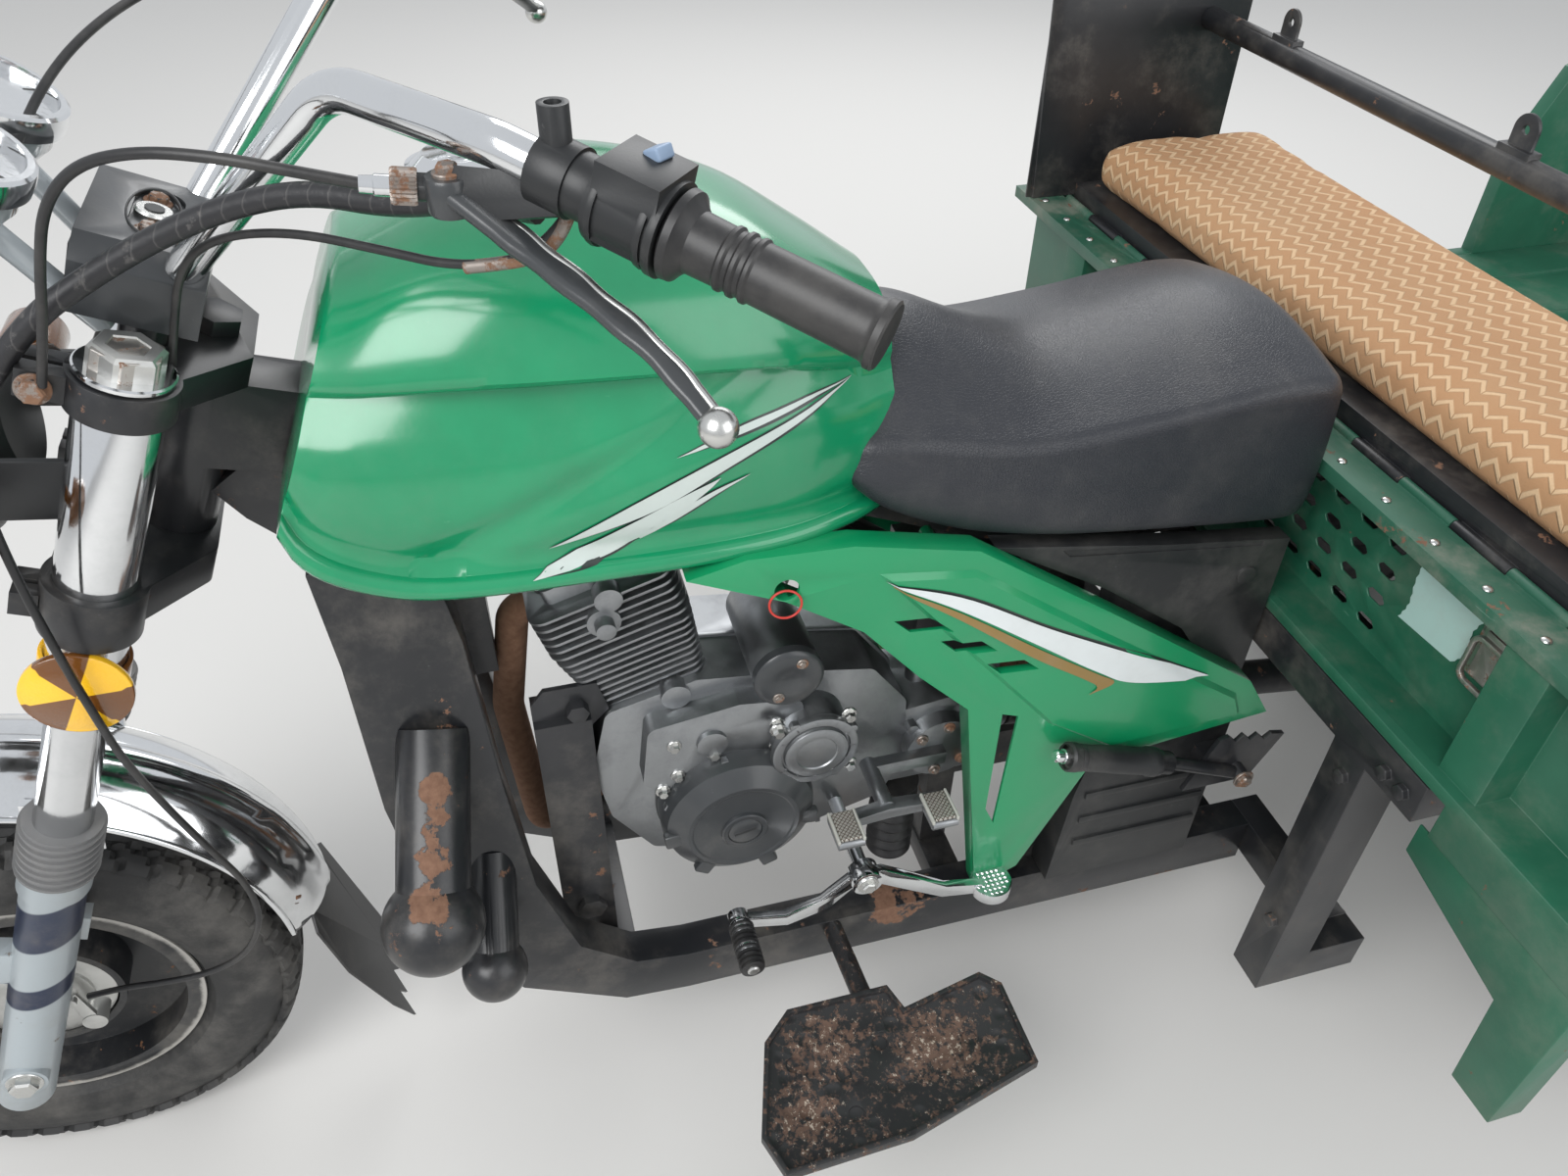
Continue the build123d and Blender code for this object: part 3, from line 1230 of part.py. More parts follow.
def bench_box():
    """The bench's walls, its front and rear flanges and its half of the lid's hinge."""
    top = flange_top - sheet
    z = (deck_underside, top)
    wall = block((-bed_half, bed_half), (bench_rear - sheet, bench_rear), z)
    ends = block((bed_half - sheet, bed_half), (panel_face + sheet, bench_rear - sheet), z)
    rim = (top, flange_top)
    flange = block((-bed_half, bed_half), (bed_front + 8, lid_hinge), rim)
    flange += block((-bed_half, bed_half), (bench_rear - 30, bench_rear), rim)
    lip = block((-bed_half, bed_half), (bed_front + 8, bed_front + 11), (flange_top - 16, top))
    flange -= Pos(at(0, lid_hinge, lid_hinge_z)) * ring(-lid_half, lid_half, lid_hinge_radius + 1.5)
    tabs = block((-lid_half, lid_half), (lid_hinge - 12, lid_hinge), rim) & slots_between_knuckles(0)
    box = wall + both(ends) + flange + lip + tabs + lid_knuckles(0)
    return box - Pos(at(0, lid_hinge, lid_hinge_z)) * ring(-bed_half, bed_half, lid_pin_radius + shaft_gap)


def slots_between_knuckles(first):
    """Upright boxes as wide as every second knuckle, to trim its leaf."""
    pitch = 2 * lid_half / lid_knuckle_count
    boxes = Part()
    for number in range(first, lid_knuckle_count, 2):
        x = -lid_half + pitch * number
        boxes += block((x + 0.5, x + pitch - 0.5), (bed_front, bench_rear), (deck_underside, end_panel_top))
    return boxes


def bench_lid():
    """The lid: a shallow tray upside down, with its half of the hinge and the pin."""
    low = flange_top + seat_gap
    front = lid_hinge + lid_hinge_radius + 2
    lid = block((-lid_half, lid_half), (front, bench_rear), (low, lid_top))
    hollow = block((-lid_half + 4, lid_half - 4), (front + 4, bench_rear - 4), (low, lid_top - 4))
    tabs = block((-lid_half, lid_half), (lid_hinge, front), (low, low + sheet)) & slots_between_knuckles(1)
    pin = Pos(at(0, lid_hinge, lid_hinge_z)) * ring(-lid_half, lid_half, lid_pin_radius)
    return lid - hollow + tabs + lid_knuckles(1) + pin


def bench_cushion():
    """The long pad on the lid."""
    low = lid_top
    front = lid_hinge + lid_hinge_radius + 4
    half = lid_half - 4
    depth = bench_rear - 4 - front
    pad = extrude(RectangleRounded(2 * half, depth, 18), cushion_height)
    pad = fillet(pad.edges().group_by(Axis.Z)[-1], 14)
    return Pos(at(0, front + depth / 2, low)) * pad


def bench_end():
    """An end panel above the flange with its stiffening fold and a bolted bracket."""
    top = end_panel_top
    front, rear = bed_front + 10, bench_rear - 65
    outline = [(front, flange_top), (rear, flange_top), (rear, top - 30), (rear - 30, top),
               (front + 10, top), (front - 15, top - 30)]
    plate = side_plate(outline, lid_half + 12, lid_half + 18)
    fold = block((lid_half + 12, lid_half + 30), (rear - 5, rear), (flange_top, top - 40))
    bracket = side_plate(
        [(front - 8, flange_top), (front + 74, flange_top), (front + 30, top - 90), (front - 8, top - 70)],
        lid_half + 18, lid_half + 22,
    )
    bolts = Part()
    for distance in (front + 8, front + 54):
        bolts += hex_bolt(facing_left(lid_half + 22, distance, flange_top + 22), 8, 7)
    return plate + fold + bracket + bolts


rail_height_above = 1070.0
tab_hole_height = 37.0      # above the rail's centre


def bench_rail():
    """The backrest's bar between the end panels and its three rounded tabs."""
    distance = bench_rear - 125
    reach = lid_half + 12
    rail = rod(at(-reach, distance, rail_height_above), at(reach, distance, rail_height_above), 15)
    for x in (-tab_spacing, 0.0, tab_spacing):
        hole_z = rail_height_above + tab_hole_height
        tab = block((x - 16, x + 16), (distance - 2, distance + 2), (rail_height_above, hole_z))
        tab += Pos(at(x, distance, hole_z)) * Rot(90, 0, 0) * Cylinder(16, 4)
        weld = (rail_height_above + 8, rail_height_above + 20)
        tab += block((x - 22, x + 22), (distance - 8, distance + 8), weld)
        tab -= rod(at(x, distance - 10, hole_z), at(x, distance + 10, hole_z), tab_hole_radius)
        rail += tab
    return rail


def side_board():
    """A board on the bed's side with sunk panels, and the sill that carries it."""
    z = deck_underside + deck_thickness
    low, high = boards_front, gate_hinge - tailgate_thickness - 2
    inner = bed_half - board_thickness
    outline = [(low, z), (high, z), (high, board_top), (low + 160, board_top), (low + 60, board_top - 50),
               (low, board_top - 190)]
    board = side_plate(outline, inner, bed_half)
    board += block((inner, bed_half), (bench_rear, high), (deck_underside, z))
    width = (high - low - 200) / 3
    for number in range(3):
        start = low + 160 + number * (width + 10)
        sunk = block((bed_half - 12, bed_half), (start, start + width - 20), (z + 50, board_top - 60))
        board -= sunk
        board += block((bed_half - 12, bed_half - 4), (start, start + width - 20), (z + 150, z + 180))
    board += rod(at(inner + 13, low + 160, board_top), at(inner + 13, high, board_top), 11)
    return board


def tailgate():
    """The gate with its sunk panels, hinge knuckles and pins."""
    z = (deck_underside + deck_thickness + moving_gap, board_top)
    half = bed_half - 2
    gate = block((-half, half), (gate_hinge - tailgate_thickness, gate_hinge), z)
    width = (2 * half - 40) / 4
    for number in range(4):
        start = -half + 30 + number * width
        sunk_z = (z[0] + 50, board_top - 50)
        gate -= block((start, start + width - 20), (gate_hinge - 12, gate_hinge), sunk_z)
    axis = Pos(at(0, gate_hinge, gate_hinge_z))
    for x in gate_hinge_x:
        for side in (x - 30.5, x + 20.5):
            gate += axis * ring(side, side + 10, gate_hinge_radius)
            gate += block((side, side + 10), (gate_hinge - 9, gate_hinge), (gate_hinge_z, z[0]))
        gate += axis * ring(x - 30, x + 30, gate_pin_radius)
    return gate


def rear_fender():
    """The plate and flanged leg ahead of the rear wheel, the skirt and the rear stay."""
    top = deck_underside - 40
    front = Plane(origin=at(0, bed_front + 3, 0), x_dir=(1, 0, 0), z_dir=(0, -1, 0))
    outline = [
        (420, top), (420, 560), (bed_half - 60, 520), (bed_half - 50, 400), (bed_half, 400),
        (bed_half, top),
    ]
    plate = extrude(front * Polygon(*outline, align=None), 3)
    leg = block((bed_half - 3, bed_half), (bed_front + 3, bed_front + 40), (400, top))
    skirt_z = (deck_underside - 80, deck_underside)
    skirt = block((bed_half - 3, bed_half), (bed_front + 40, tail_distance - 60), skirt_z)
    rear = block((bed_half - 50, bed_half), (tail_distance - 100, tail_distance - 97), (420, top))
    rear += block((bed_half - 3, bed_half), (tail_distance - 130, tail_distance - 97), (420, top))
    return plate + leg + skirt + rear


def tail_lamp():
    """A rear lamp: its housing, three domed lenses and the bracket up to the floor."""
    x0, x1 = bed_half - 195, bed_half - 45
    low = deck_underside - 84
    face = tail_distance - 34
    lamp = block((x0, x1), (face - 22, face), (low, low + 60))
    for number in range(3):
        middle = x0 + 25 + 50 * number
        lens = Pos(at(middle, face, low + 30)) * Rot(-90, 0, 0) * Cone(22, 18, 8, align=LOW)
        lamp += lens
    return lamp + block((x0 + 50, x1 - 50), (face - 12, face - 6), (low + 60, deck_underside))


def largest(shape):
    return shape.solids().sort_by(SortBy.VOLUME)[-1]


def make_all():
    """Every node by name, each trimmed where it meets its neighbours."""
    frame = main_frame()
    case = engine_case()
    barrel = largest(engine_barrel() - case)
    tank = fuel_tank() - frame
    box = gearbox() - case
    bar = handlebar()
    springs = both(leaf_spring())
    chassis = rear_chassis() - springs
    legs_of_bed = bed_legs() - frame
    axle = rear_axle() - springs
    switches = both(switch_pod())
    legs = on_fork(fork_leg(-fork_spread) + fork_leg(fork_spread))
    tubes = on_fork(fork_tube(-fork_spread) + fork_tube(fork_spread))
    top_yoke = on_fork(upper_yoke())
    low_yoke = on_fork(lower_yoke())
    guard = mudguard() - legs
    battery = battery_box() - frame
    lever = shift_lever() - case - box
    pipes = largest(exhaust() - barrel - case - frame)
    covers = both(side_cover()) - frame - lever - tank
    seat = saddle() - frame - tank
    intake = carburettor() - barrel - case - frame
    floor = bed_floor()
    spindle_half = fork_spread + leg_radius + 12
    spindle = ring(-spindle_half, spindle_half, spindle_radius)
    lamp = headlamp() - tubes - low_yoke
    cover = clamp_cover() - bar - top_yoke
    dials = gauge(-62) + gauge(62) - top_yoke - lamp - cover
    brake_plate = front_brake_plate() - legs
    caps = on_fork(fork_cap(-fork_spread) + fork_cap(fork_spread))
    reflectors = on_fork(fork_reflector(-fork_spread) + fork_reflector(fork_spread))
    cables = control_cables()
    for piece in (bar, switches, dials, top_yoke, low_yoke, tubes, legs, guard, brake_plate, lamp, cover):
        cables -= piece
    made = {
        "main_frame": frame,
        "crash_guards": both(crash_guard()) - frame,
        "engine_case": case,
        "engine_barrel": barrel,
        "exhaust": pipes,
        "gearbox": box,
        "engine_mount": engine_mount(case) - frame - box - barrel,
        "carburettor": intake,
        "rubber_hoses": (air_hose() - intake - frame) + (drive_boot() - box - case),
        "foot_levers": lever + (kick_lever() - case),
        "brake_pedal": brake_pedal() - frame,
        "fuel_tank": tank,
        "tank_cap": tank_cap() - tank,
        "saddle": seat,
        "side_covers": covers,
        "black_covers": (both(rear_cover()) - frame - covers) + battery,
        "footplates": both(footplate()) - frame,
        "handbrake": handbrake() - battery,
        "rear_chassis": chassis,
        "bed_legs": legs_of_bed,
        "leaf_springs": springs,
        "rear_axle": axle,
        "drive_shaft": drive_shaft() - axle - box,
        "bed_floor": floor,
        "bed_front": bed_front_panel(),
        "bed_latches": both(toggle_latch()),
        "bench_box": bench_box(),
        "bench_lid": bench_lid(),
        "bench_cushion": bench_cushion(),
        "bench_ends": both(bench_end()),
        "bench_rail": bench_rail(),
        "side_boards": both(side_board()),
        "tailgate": tailgate(),
        "rear_fenders": both(rear_fender()) - chassis,
        "tail_lamps": both(tail_lamp()) - chassis,
        "lower_yoke": low_yoke,
        "upper_yoke": top_yoke,
        "fork_tubes": tubes,
        "fork_legs": legs,
        "front_signals": reflectors + (both(front_indicator()) - lamp),
        "fork_hardware": caps + Pos(0, front_axle_y, front_axle_z) * spindle,
        "front_brake_plate": brake_plate,
        "handlebar": bar,
        "clamp_cover": cover,
        "grips": both(grip()),
        "switches": switches,
        "hand_levers": both(hand_lever()) - switches,
        "gauges": dials,
        "headlamp": lamp,
        "control_cables": cables,
        "front_mudguard": guard,
        "mudflap": largest(mudflap() - guard),
        "front_rim": front_rim(),
        "front_tyre": Pos(0, front_axle_y, front_axle_z) * tyre(front_tyre_radius, front_tyre_width),
    }
    rear_tyre = tyre(rear_tyre_radius, rear_tyre_width)
    rim = rear_rim()
    made["rear_rim_left"] = rim
    made["rear_rim_right"] = mirror(rim, Plane.YZ)
    for name, x in (("left", wheel_x), ("right", -wheel_x)):
        made["rear_tyre_" + name] = Pos(x, rear_axle_y, rear_axle_z) * rear_tyre
    return made


if __name__ == "__main__":
    os.makedirs("parts", exist_ok=True)
    for name, shape in make_all().items():
        export_step(shape, f"parts/{name}.step")
        print(name, len(shape.solids()))
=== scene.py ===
# %% [markdown]
# # A cargo motor tricycle
# One steered wheel on a raked fork, a pressed frame with an open engine, a long saddle
# and a green load bed. Everything is in metres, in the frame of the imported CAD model.

import json
import math

import bpy
from mathutils import Matrix, Vector


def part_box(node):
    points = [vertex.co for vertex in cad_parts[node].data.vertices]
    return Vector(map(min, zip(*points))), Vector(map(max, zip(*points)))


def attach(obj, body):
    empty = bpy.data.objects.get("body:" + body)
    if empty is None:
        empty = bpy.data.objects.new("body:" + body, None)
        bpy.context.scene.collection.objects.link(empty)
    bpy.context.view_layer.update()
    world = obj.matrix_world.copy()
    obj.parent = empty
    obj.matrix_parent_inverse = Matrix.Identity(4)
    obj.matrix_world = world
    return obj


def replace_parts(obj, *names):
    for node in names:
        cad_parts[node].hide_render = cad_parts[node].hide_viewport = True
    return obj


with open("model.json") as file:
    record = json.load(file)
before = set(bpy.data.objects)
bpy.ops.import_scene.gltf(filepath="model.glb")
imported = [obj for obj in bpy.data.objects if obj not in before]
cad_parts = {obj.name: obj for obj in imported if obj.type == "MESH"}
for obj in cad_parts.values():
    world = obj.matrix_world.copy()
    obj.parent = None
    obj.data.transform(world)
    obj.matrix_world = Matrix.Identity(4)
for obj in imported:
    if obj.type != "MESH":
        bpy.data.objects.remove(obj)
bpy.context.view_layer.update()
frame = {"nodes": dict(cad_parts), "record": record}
AXLE_Y, AXLE_Z = -1.438, 0.272      # the front axle's place in metres
UP = Vector((0.0, 0.0, 1.0))
SIDES = ((1.0, "left"), (-1.0, "right"))
BODY_OF = {
    node: body
    for body, nodes in frame["record"]["behaviour"]["bodies"].items()
    for node in nodes
}
SLOT_OF = {part["node"]: part["material_slot"] for part in frame["record"]["subparts"]}


def place(x, distance, z):
    """A point in metres from millimetres, its distance measured from the front axle."""
    return Vector((x / 1000.0, distance / 1000.0 + AXLE_Y, z / 1000.0))


# %% [markdown]
# The camera stands at the photograph's place: high at the left front corner, looking
# down 40 degrees. Its two turns and its roll come from measured points of the tricycle.

# %% Set the camera
CAMERA_PLACE = (0.95, -0.845, 1.50)
LOOK_DOWN, LOOK_TURN, ROLL = [math.radians(angle) for angle in (40.0, 16.5, 1.3)]
FOCAL_MM, SENSOR_MM = 27.0, 36.0


def set_camera():
    turn_c, turn_s = math.cos(LOOK_TURN), math.sin(LOOK_TURN)
    down_c, down_s = math.cos(LOOK_DOWN), math.sin(LOOK_DOWN)
    right = Vector((turn_s, turn_c, 0.0))
    ahead = Vector((-turn_c * down_c, turn_s * down_c, -down_s))
    up = Vector((-turn_c * down_s, turn_s * down_s, down_c))
    rolled_right = right * math.cos(ROLL) + up * math.sin(ROLL)
    rolled_up = up * math.cos(ROLL) - right * math.sin(ROLL)
    axes = Matrix((rolled_right, rolled_up, -ahead)).transposed().to_4x4()
    data = bpy.data.cameras.new("camera")
    data.lens = FOCAL_MM
    data.sensor_width = SENSOR_MM
    data.clip_start = 0.05
    camera = bpy.data.objects.new("camera", data)
    camera.matrix_world = Matrix.Translation(CAMERA_PLACE) @ axes
    bpy.context.scene.collection.objects.link(camera)
    bpy.context.scene.camera = camera


set_camera()
print("camera set")

# %% [markdown]
# A plain studio: a pale floor, three broad lamps and a pale world. The Standard view
# keeps each colour as it is written.

# %% Build the studio
FLOOR_COLOUR, FLOOR_SIZE = (0.62, 0.61, 0.59, 1.0), 16.0
SKY_COLOUR, SKY_STRENGTH = (0.93, 0.96, 1.0, 1.0), 0.75
LAMP_AIM = Vector((0.0, -0.5, 0.6))
LAMPS = [
    # name, place, size, watts
    ("key", (2.6, -3.4, 3.8), 3.0, 190.0),
    ("fill", (3.2, 2.2, 2.6), 3.5, 70.0),
    ("back", (-3.5, 1.0, 3.6), 3.0, 90.0),
]


def add_lamp(name, spot, size, watts):
    data = bpy.data.lights.new(name, "AREA")
    data.size = size
    data.energy = watts
    lamp = bpy.data.objects.new(name, data)
    turn = (LAMP_AIM - Vector(spot)).to_track_quat("-Z", "Y").to_matrix().to_4x4()
    lamp.matrix_world = Matrix.Translation(spot) @ turn
    bpy.context.scene.collection.objects.link(lamp)


def new_piece(name, add, **settings):
    """Adds a primitive mesh with nothing else selected, and names it."""
    bpy.ops.object.select_all(action="DESELECT")
    add(**settings)
    piece = bpy.context.object
    piece.name = name
    return piece


def build_studio():
    world = bpy.data.worlds.new("studio")
    world.use_nodes = True
    sky = world.node_tree.nodes["Background"]
    sky.inputs["Color"].default_value = SKY_COLOUR
    sky.inputs["Strength"].default_value = SKY_STRENGTH
    bpy.context.scene.world = world
    bpy.context.scene.view_settings.view_transform = "Standard"
    for lamp in LAMPS:
        add_lamp(*lamp)
    floor = new_piece("floor", bpy.ops.mesh.primitive_plane_add, size=FLOOR_SIZE)
    finish = bpy.data.materials.new("pale_floor")
    finish.use_nodes = True
    shader = finish.node_tree.nodes["Principled BSDF"]
    shader.inputs["Base Color"].default_value = FLOOR_COLOUR
    shader.inputs["Roughness"].default_value = 0.85
    floor.data.materials.append(finish)


build_studio()
print("lamps", len(LAMPS))

# %% [markdown]
# Finishes are written as arithmetic. A small class stands for a node's output, so that
# an expression such as `rust * 0.5 + dust` adds its own Math nodes. Colours go through
# Mix nodes, because a Math node would turn them grey.

# %% Make the shader helpers


def feed(tree, socket, value):
    """Links a signal to a socket, or writes a plain value into it."""
    if isinstance(value, Signal):
        tree.links.new(value.socket, socket)
    else:
        socket.default_value = value


class Signal:
    """An output of a shader node that takes part in arithmetic."""

    def __init__(self, tree, socket):
        self.tree = tree
        self.socket = socket

    def math(self, operation, *values, flip=False):
        node = self.tree.nodes.new("ShaderNodeMath")
        node.operation = operation
        terms = [self, *values]
        if flip:
            terms.reverse()
        for socket, term in zip(node.inputs, terms):
            feed(self.tree, socket, term)
        return Signal(self.tree, node.outputs[0])

    def __add__(self, other):
        return self.math("ADD", other)

    def __mul__(self, other):
        return self.math("MULTIPLY", other)

    def __sub__(self, other):
        return self.math("SUBTRACT", other)

    def __rsub__(self, other):
        return self.math("SUBTRACT", other, flip=True)

    def __truediv__(self, other):
        return self.math("DIVIDE", other)

    def absolute(self):
        return self.math("ABSOLUTE")

    def clamped(self):
        return self.math("MAXIMUM", 0.0).math("MINIMUM", 1.0)


class Finish:
    """A material under construction: its nodes, its coordinates and its shader."""

    def __init__(self, name):
        self.material = bpy.data.materials.new(name)
        self.material.use_nodes = True
        self.tree = self.material.node_tree
        self.shader = self.tree.nodes["Principled BSDF"]
        self.place = self.add("ShaderNodeTexCoord", {}, "Object")

    def add(self, kind, sockets, output=0, **settings):
        """Adds a node; its settings are set first, then its sockets are set or linked."""
        node = self.tree.nodes.new(kind)
        for key, value in settings.items():
            setattr(node, key, value)
        for key, value in sockets.items():
            feed(self.tree, node.inputs[key], value)
        return Signal(self.tree, node.outputs[output])

    def axes(self):
        """The place on the piece as three signals, the second from the front axle."""
        split = self.tree.nodes.new("ShaderNodeSeparateXYZ")
        feed(self.tree, split.inputs[0], self.place)
        x, y, z = [Signal(self.tree, socket) for socket in split.outputs]
        return x, y - AXLE_Y, z

    def distance_to(self, spot):
        """Metres from a point, which is given in millimetres from the front axle."""
        sockets = {0: self.place, 1: place(*spot)}
        return self.add("ShaderNodeVectorMath", sockets, 1, operation="DISTANCE")

    def stretched(self, x, y, z):
        """The place with each axis scaled, for patterns that run one way."""
        return self.add("ShaderNodeMapping", {0: self.place, "Scale": (x, y, z)})

    def noise(self, scale, detail=4.0, rough=0.6, where=None):
        sockets = {"Vector": where or self.place, "Scale": scale}
        sockets.update({"Detail": detail, "Roughness": rough})
        return self.add("ShaderNodeTexNoise", sockets)

    def cells(self, scale, feature="F1"):
        sockets = {"Vector": self.place, "Scale": scale}
        return self.add("ShaderNodeTexVoronoi", sockets, feature=feature)

    def step(self, value, low, high):
        """0 below low, 1 above high and a smooth ramp between them."""
        sockets = {"Value": value, "From Min": low, "From Max": high}
        return self.add("ShaderNodeMapRange", sockets, interpolation_type="SMOOTHSTEP")

    def patches(self, low, high, *noise):
        """A noise cut between two levels, so that it stands in patches."""
        return self.step(self.noise(*noise), low, high)

    def mix(self, factor, first, second):
        """Two colours mixed by a factor."""
        sockets = {0: factor}
        for number, colour in ((6, first), (7, second)):
            sockets[number] = colour if isinstance(colour, Signal) else (*colour, 1.0)
        return self.add("ShaderNodeMix", sockets, 2, data_type="RGBA")

    def surface(self, colour, roughness, height, strength, depth, **others):
        """Feeds the shader its colour, roughness and bump, and other sockets by name."""
        bump = {"Strength": strength, "Distance": depth, "Height": height}
        values = {name.replace("_", " ").title(): value for name, value in others.items()}
        values.update({"Base Color": colour, "Roughness": roughness})
        values["Normal"] = self.add("ShaderNodeBump", bump)
        for name, value in values.items():
            feed(self.tree, self.shader.inputs[name], value)
        return self


FINISHES = {}
print("shader helpers ready")

# %% [markdown]
# Paint on steel: a coat with chips that show rust, long fine scratches and pale road
# dust. Chips come from a noise cut at a high level, scratches from a noise squeezed
# along one axis, and dust from a soft large noise. The same recipe with other colours
# serves the frame, the bed and the tank.

# %% Mix the painted finishes
BLACK, SOOT = (0.012, 0.013, 0.015), (0.024, 0.024, 0.026)
ROAD_DUST = (0.30, 0.27, 0.23)
# Places that are rubbed down to rust: a point in millimetres and a reach in metres.
CRASH_SPOTS = [
    ((150, 484, 619), 0.020), ((171, 478, 596), 0.023), ((193, 473, 573), 0.024),
    ((224, 462, 544), 0.027),
]
FRAME_SPOTS = [((120, 480, 560), 0.03), ((142, 1000, 232), 0.05)]
PLATE_SPOTS = [((320, 840, 270), 0.06), ((390, 800, 270), 0.05), ((350, 960, 270), 0.07)]
PAINTS = {
    # name, base, shade, roughness, level of chips, dust, coat, scratches, rusty spots
    "black_paint": ("black_frame_paint", BLACK, SOOT, 0.36, 0.63, 0.22),
    "bed_green": (
        "green_bed_paint", (0.012, 0.090, 0.050), (0.020, 0.120, 0.068), 0.4, 0.66, 0.2,
    ),
    "green_paint": (
        "green_tank_paint", (0.004, 0.215, 0.088), (0.006, 0.26, 0.108), 0.18, 0.80, 0.05,
        0.6, 0.1,
    ),
    "crash_paint": ("black_crash_paint", BLACK, SOOT, 0.3, 0.62, 0.2, 0.0, 0.35, CRASH_SPOTS),
    "frame_paint": ("black_rail_paint", BLACK, SOOT, 0.3, 0.63, 0.24, 0.0, 0.35, FRAME_SPOTS),
    "worn_green": (
        "worn_green_paint", (0.014, 0.085, 0.050), (0.028, 0.115, 0.072), 0.45, 0.61, 0.55,
        0.0, 0.6,
    ),
    "cover_paint": (
        "dark_cover_paint", (0.030, 0.033, 0.036), (0.045, 0.048, 0.05), 0.32, 0.78, 0.14, 0.2,
    ),
}


def painted(name, base, shade, rough, chips, dust, coat=0.0, scratched=0.35, spots=()):
    """A paint with rusty chips, scratches and dust; a lower chips level wears it more."""
    finish = Finish(name)
    body = finish.mix(finish.patches(0.35, 0.7, 6.0, 5.0), base, shade)
    long_ways = finish.stretched(0.3, 1.0, 2.2)
    scratches = finish.patches(0.68, 0.74, 60.0, 6.0, 0.7, long_ways) * scratched
    pale = finish.mix(scratches, body, [min(1.0, 0.15 + 1.7 * c) for c in base])
    dusty = finish.patches(0.45, 0.75, 9.0, 8.0, 0.7) * dust
    dusted = finish.mix(dusty, pale, ROAD_DUST)
    wear = finish.noise(23.0, 9.0, 0.72)
    for spot, reach in spots:
        wear = wear + finish.step(finish.distance_to(spot) / reach, 1.0, 0.45) * 0.2
    chipped = finish.step(wear, chips, chips + 0.03)
    rust = finish.mix(finish.noise(140.0, 5.0), (0.085, 0.038, 0.022), (0.27, 0.15, 0.095))
    return finish.surface(
        finish.mix(chipped, dusted, rust),
        (chipped * (0.85 - rough) + dusty * 0.5 + rough).clamped(),
        finish.noise(260.0, 2.0) * 0.3 - chipped, 0.35, 0.0006,
        coat_weight=coat, coat_roughness=0.12,
    )


FINISHES.update({key: painted(*row) for key, row in PAINTS.items()})
print("painted finishes", len(FINISHES))

# %% [markdown]
# Bare metals: chrome is a mirror with pits and brown freckles, cast alloy is grainy
# and dull with patches of oily film, and the old steel and the header pipe are rust over
# metal. Metallic and roughness change together wherever rust covers the metal.

# %% Mix the metals
METALS = {
    # name, base, roughness, level of rust, grain, its depth, grime
    "chrome": ("worn_chrome", (0.78, 0.79, 0.80), 0.09, 0.70, 300.0, 0.0001, 0.18),
    "alloy": ("cast_alloy", (0.33, 0.34, 0.35), 0.34, 0.74, 420.0, 0.0004, 0.5),
    "pale_alloy": ("pale_alloy", (0.62, 0.62, 0.60), 0.42, 0.70, 420.0, 0.0004, 0.35),
    "bright_bolt": ("bright_bolt", (0.62, 0.62, 0.60), 0.26, 0.66, 300.0, 0.0002, 0.3),
    "rusty_bolt": ("rusty_bolt", (0.34, 0.30, 0.27), 0.45, 0.46, 260.0, 0.0004, 0.4),
    "steel": ("old_steel", (0.46, 0.44, 0.41), 0.36, 0.52, 240.0, 0.0004, 0.4),
    "rusty_pipe": ("rusted_pipe", (0.16, 0.11, 0.08), 0.5, 0.30, 200.0, 0.0006, 0.4),
}


def bare_metal(name, base, rough, rust_level, grain, depth, grime):
    finish = Finish(name)
    rusty = finish.patches(rust_level, rust_level + 0.08, 48.0, 9.0, 0.75)
    tone = finish.mix(finish.noise(120.0, 5.0), (0.095, 0.042, 0.024), (0.29, 0.165, 0.10))
    film = finish.patches(0.42, 0.72, 11.0, 7.0, 0.7) * grime
    metal = finish.mix(film, base, [0.35 * c + 0.03 for c in base])
    return finish.surface(
        finish.mix(rusty, metal, tone), (rusty * 0.5 + film * 0.3 + rough).clamped(),
        finish.noise(grain, 5.0) + rusty * 0.6, 0.25, depth,
        metallic=(1.0 - rusty * 0.9 - film * 0.35).clamped(),
    )


FINISHES.update({key: bare_metal(*row) for key, row in METALS.items()})
print("metals", len(METALS))

# %% [markdown]
# Plastics, rubber, foils and vinyl: one recipe of a base colour, a dusty film, a fine
# grain and a few scuffs. Vinyl gets cells for its leather grain, and the tyre keeps the
# pale dust of the road in its texture.

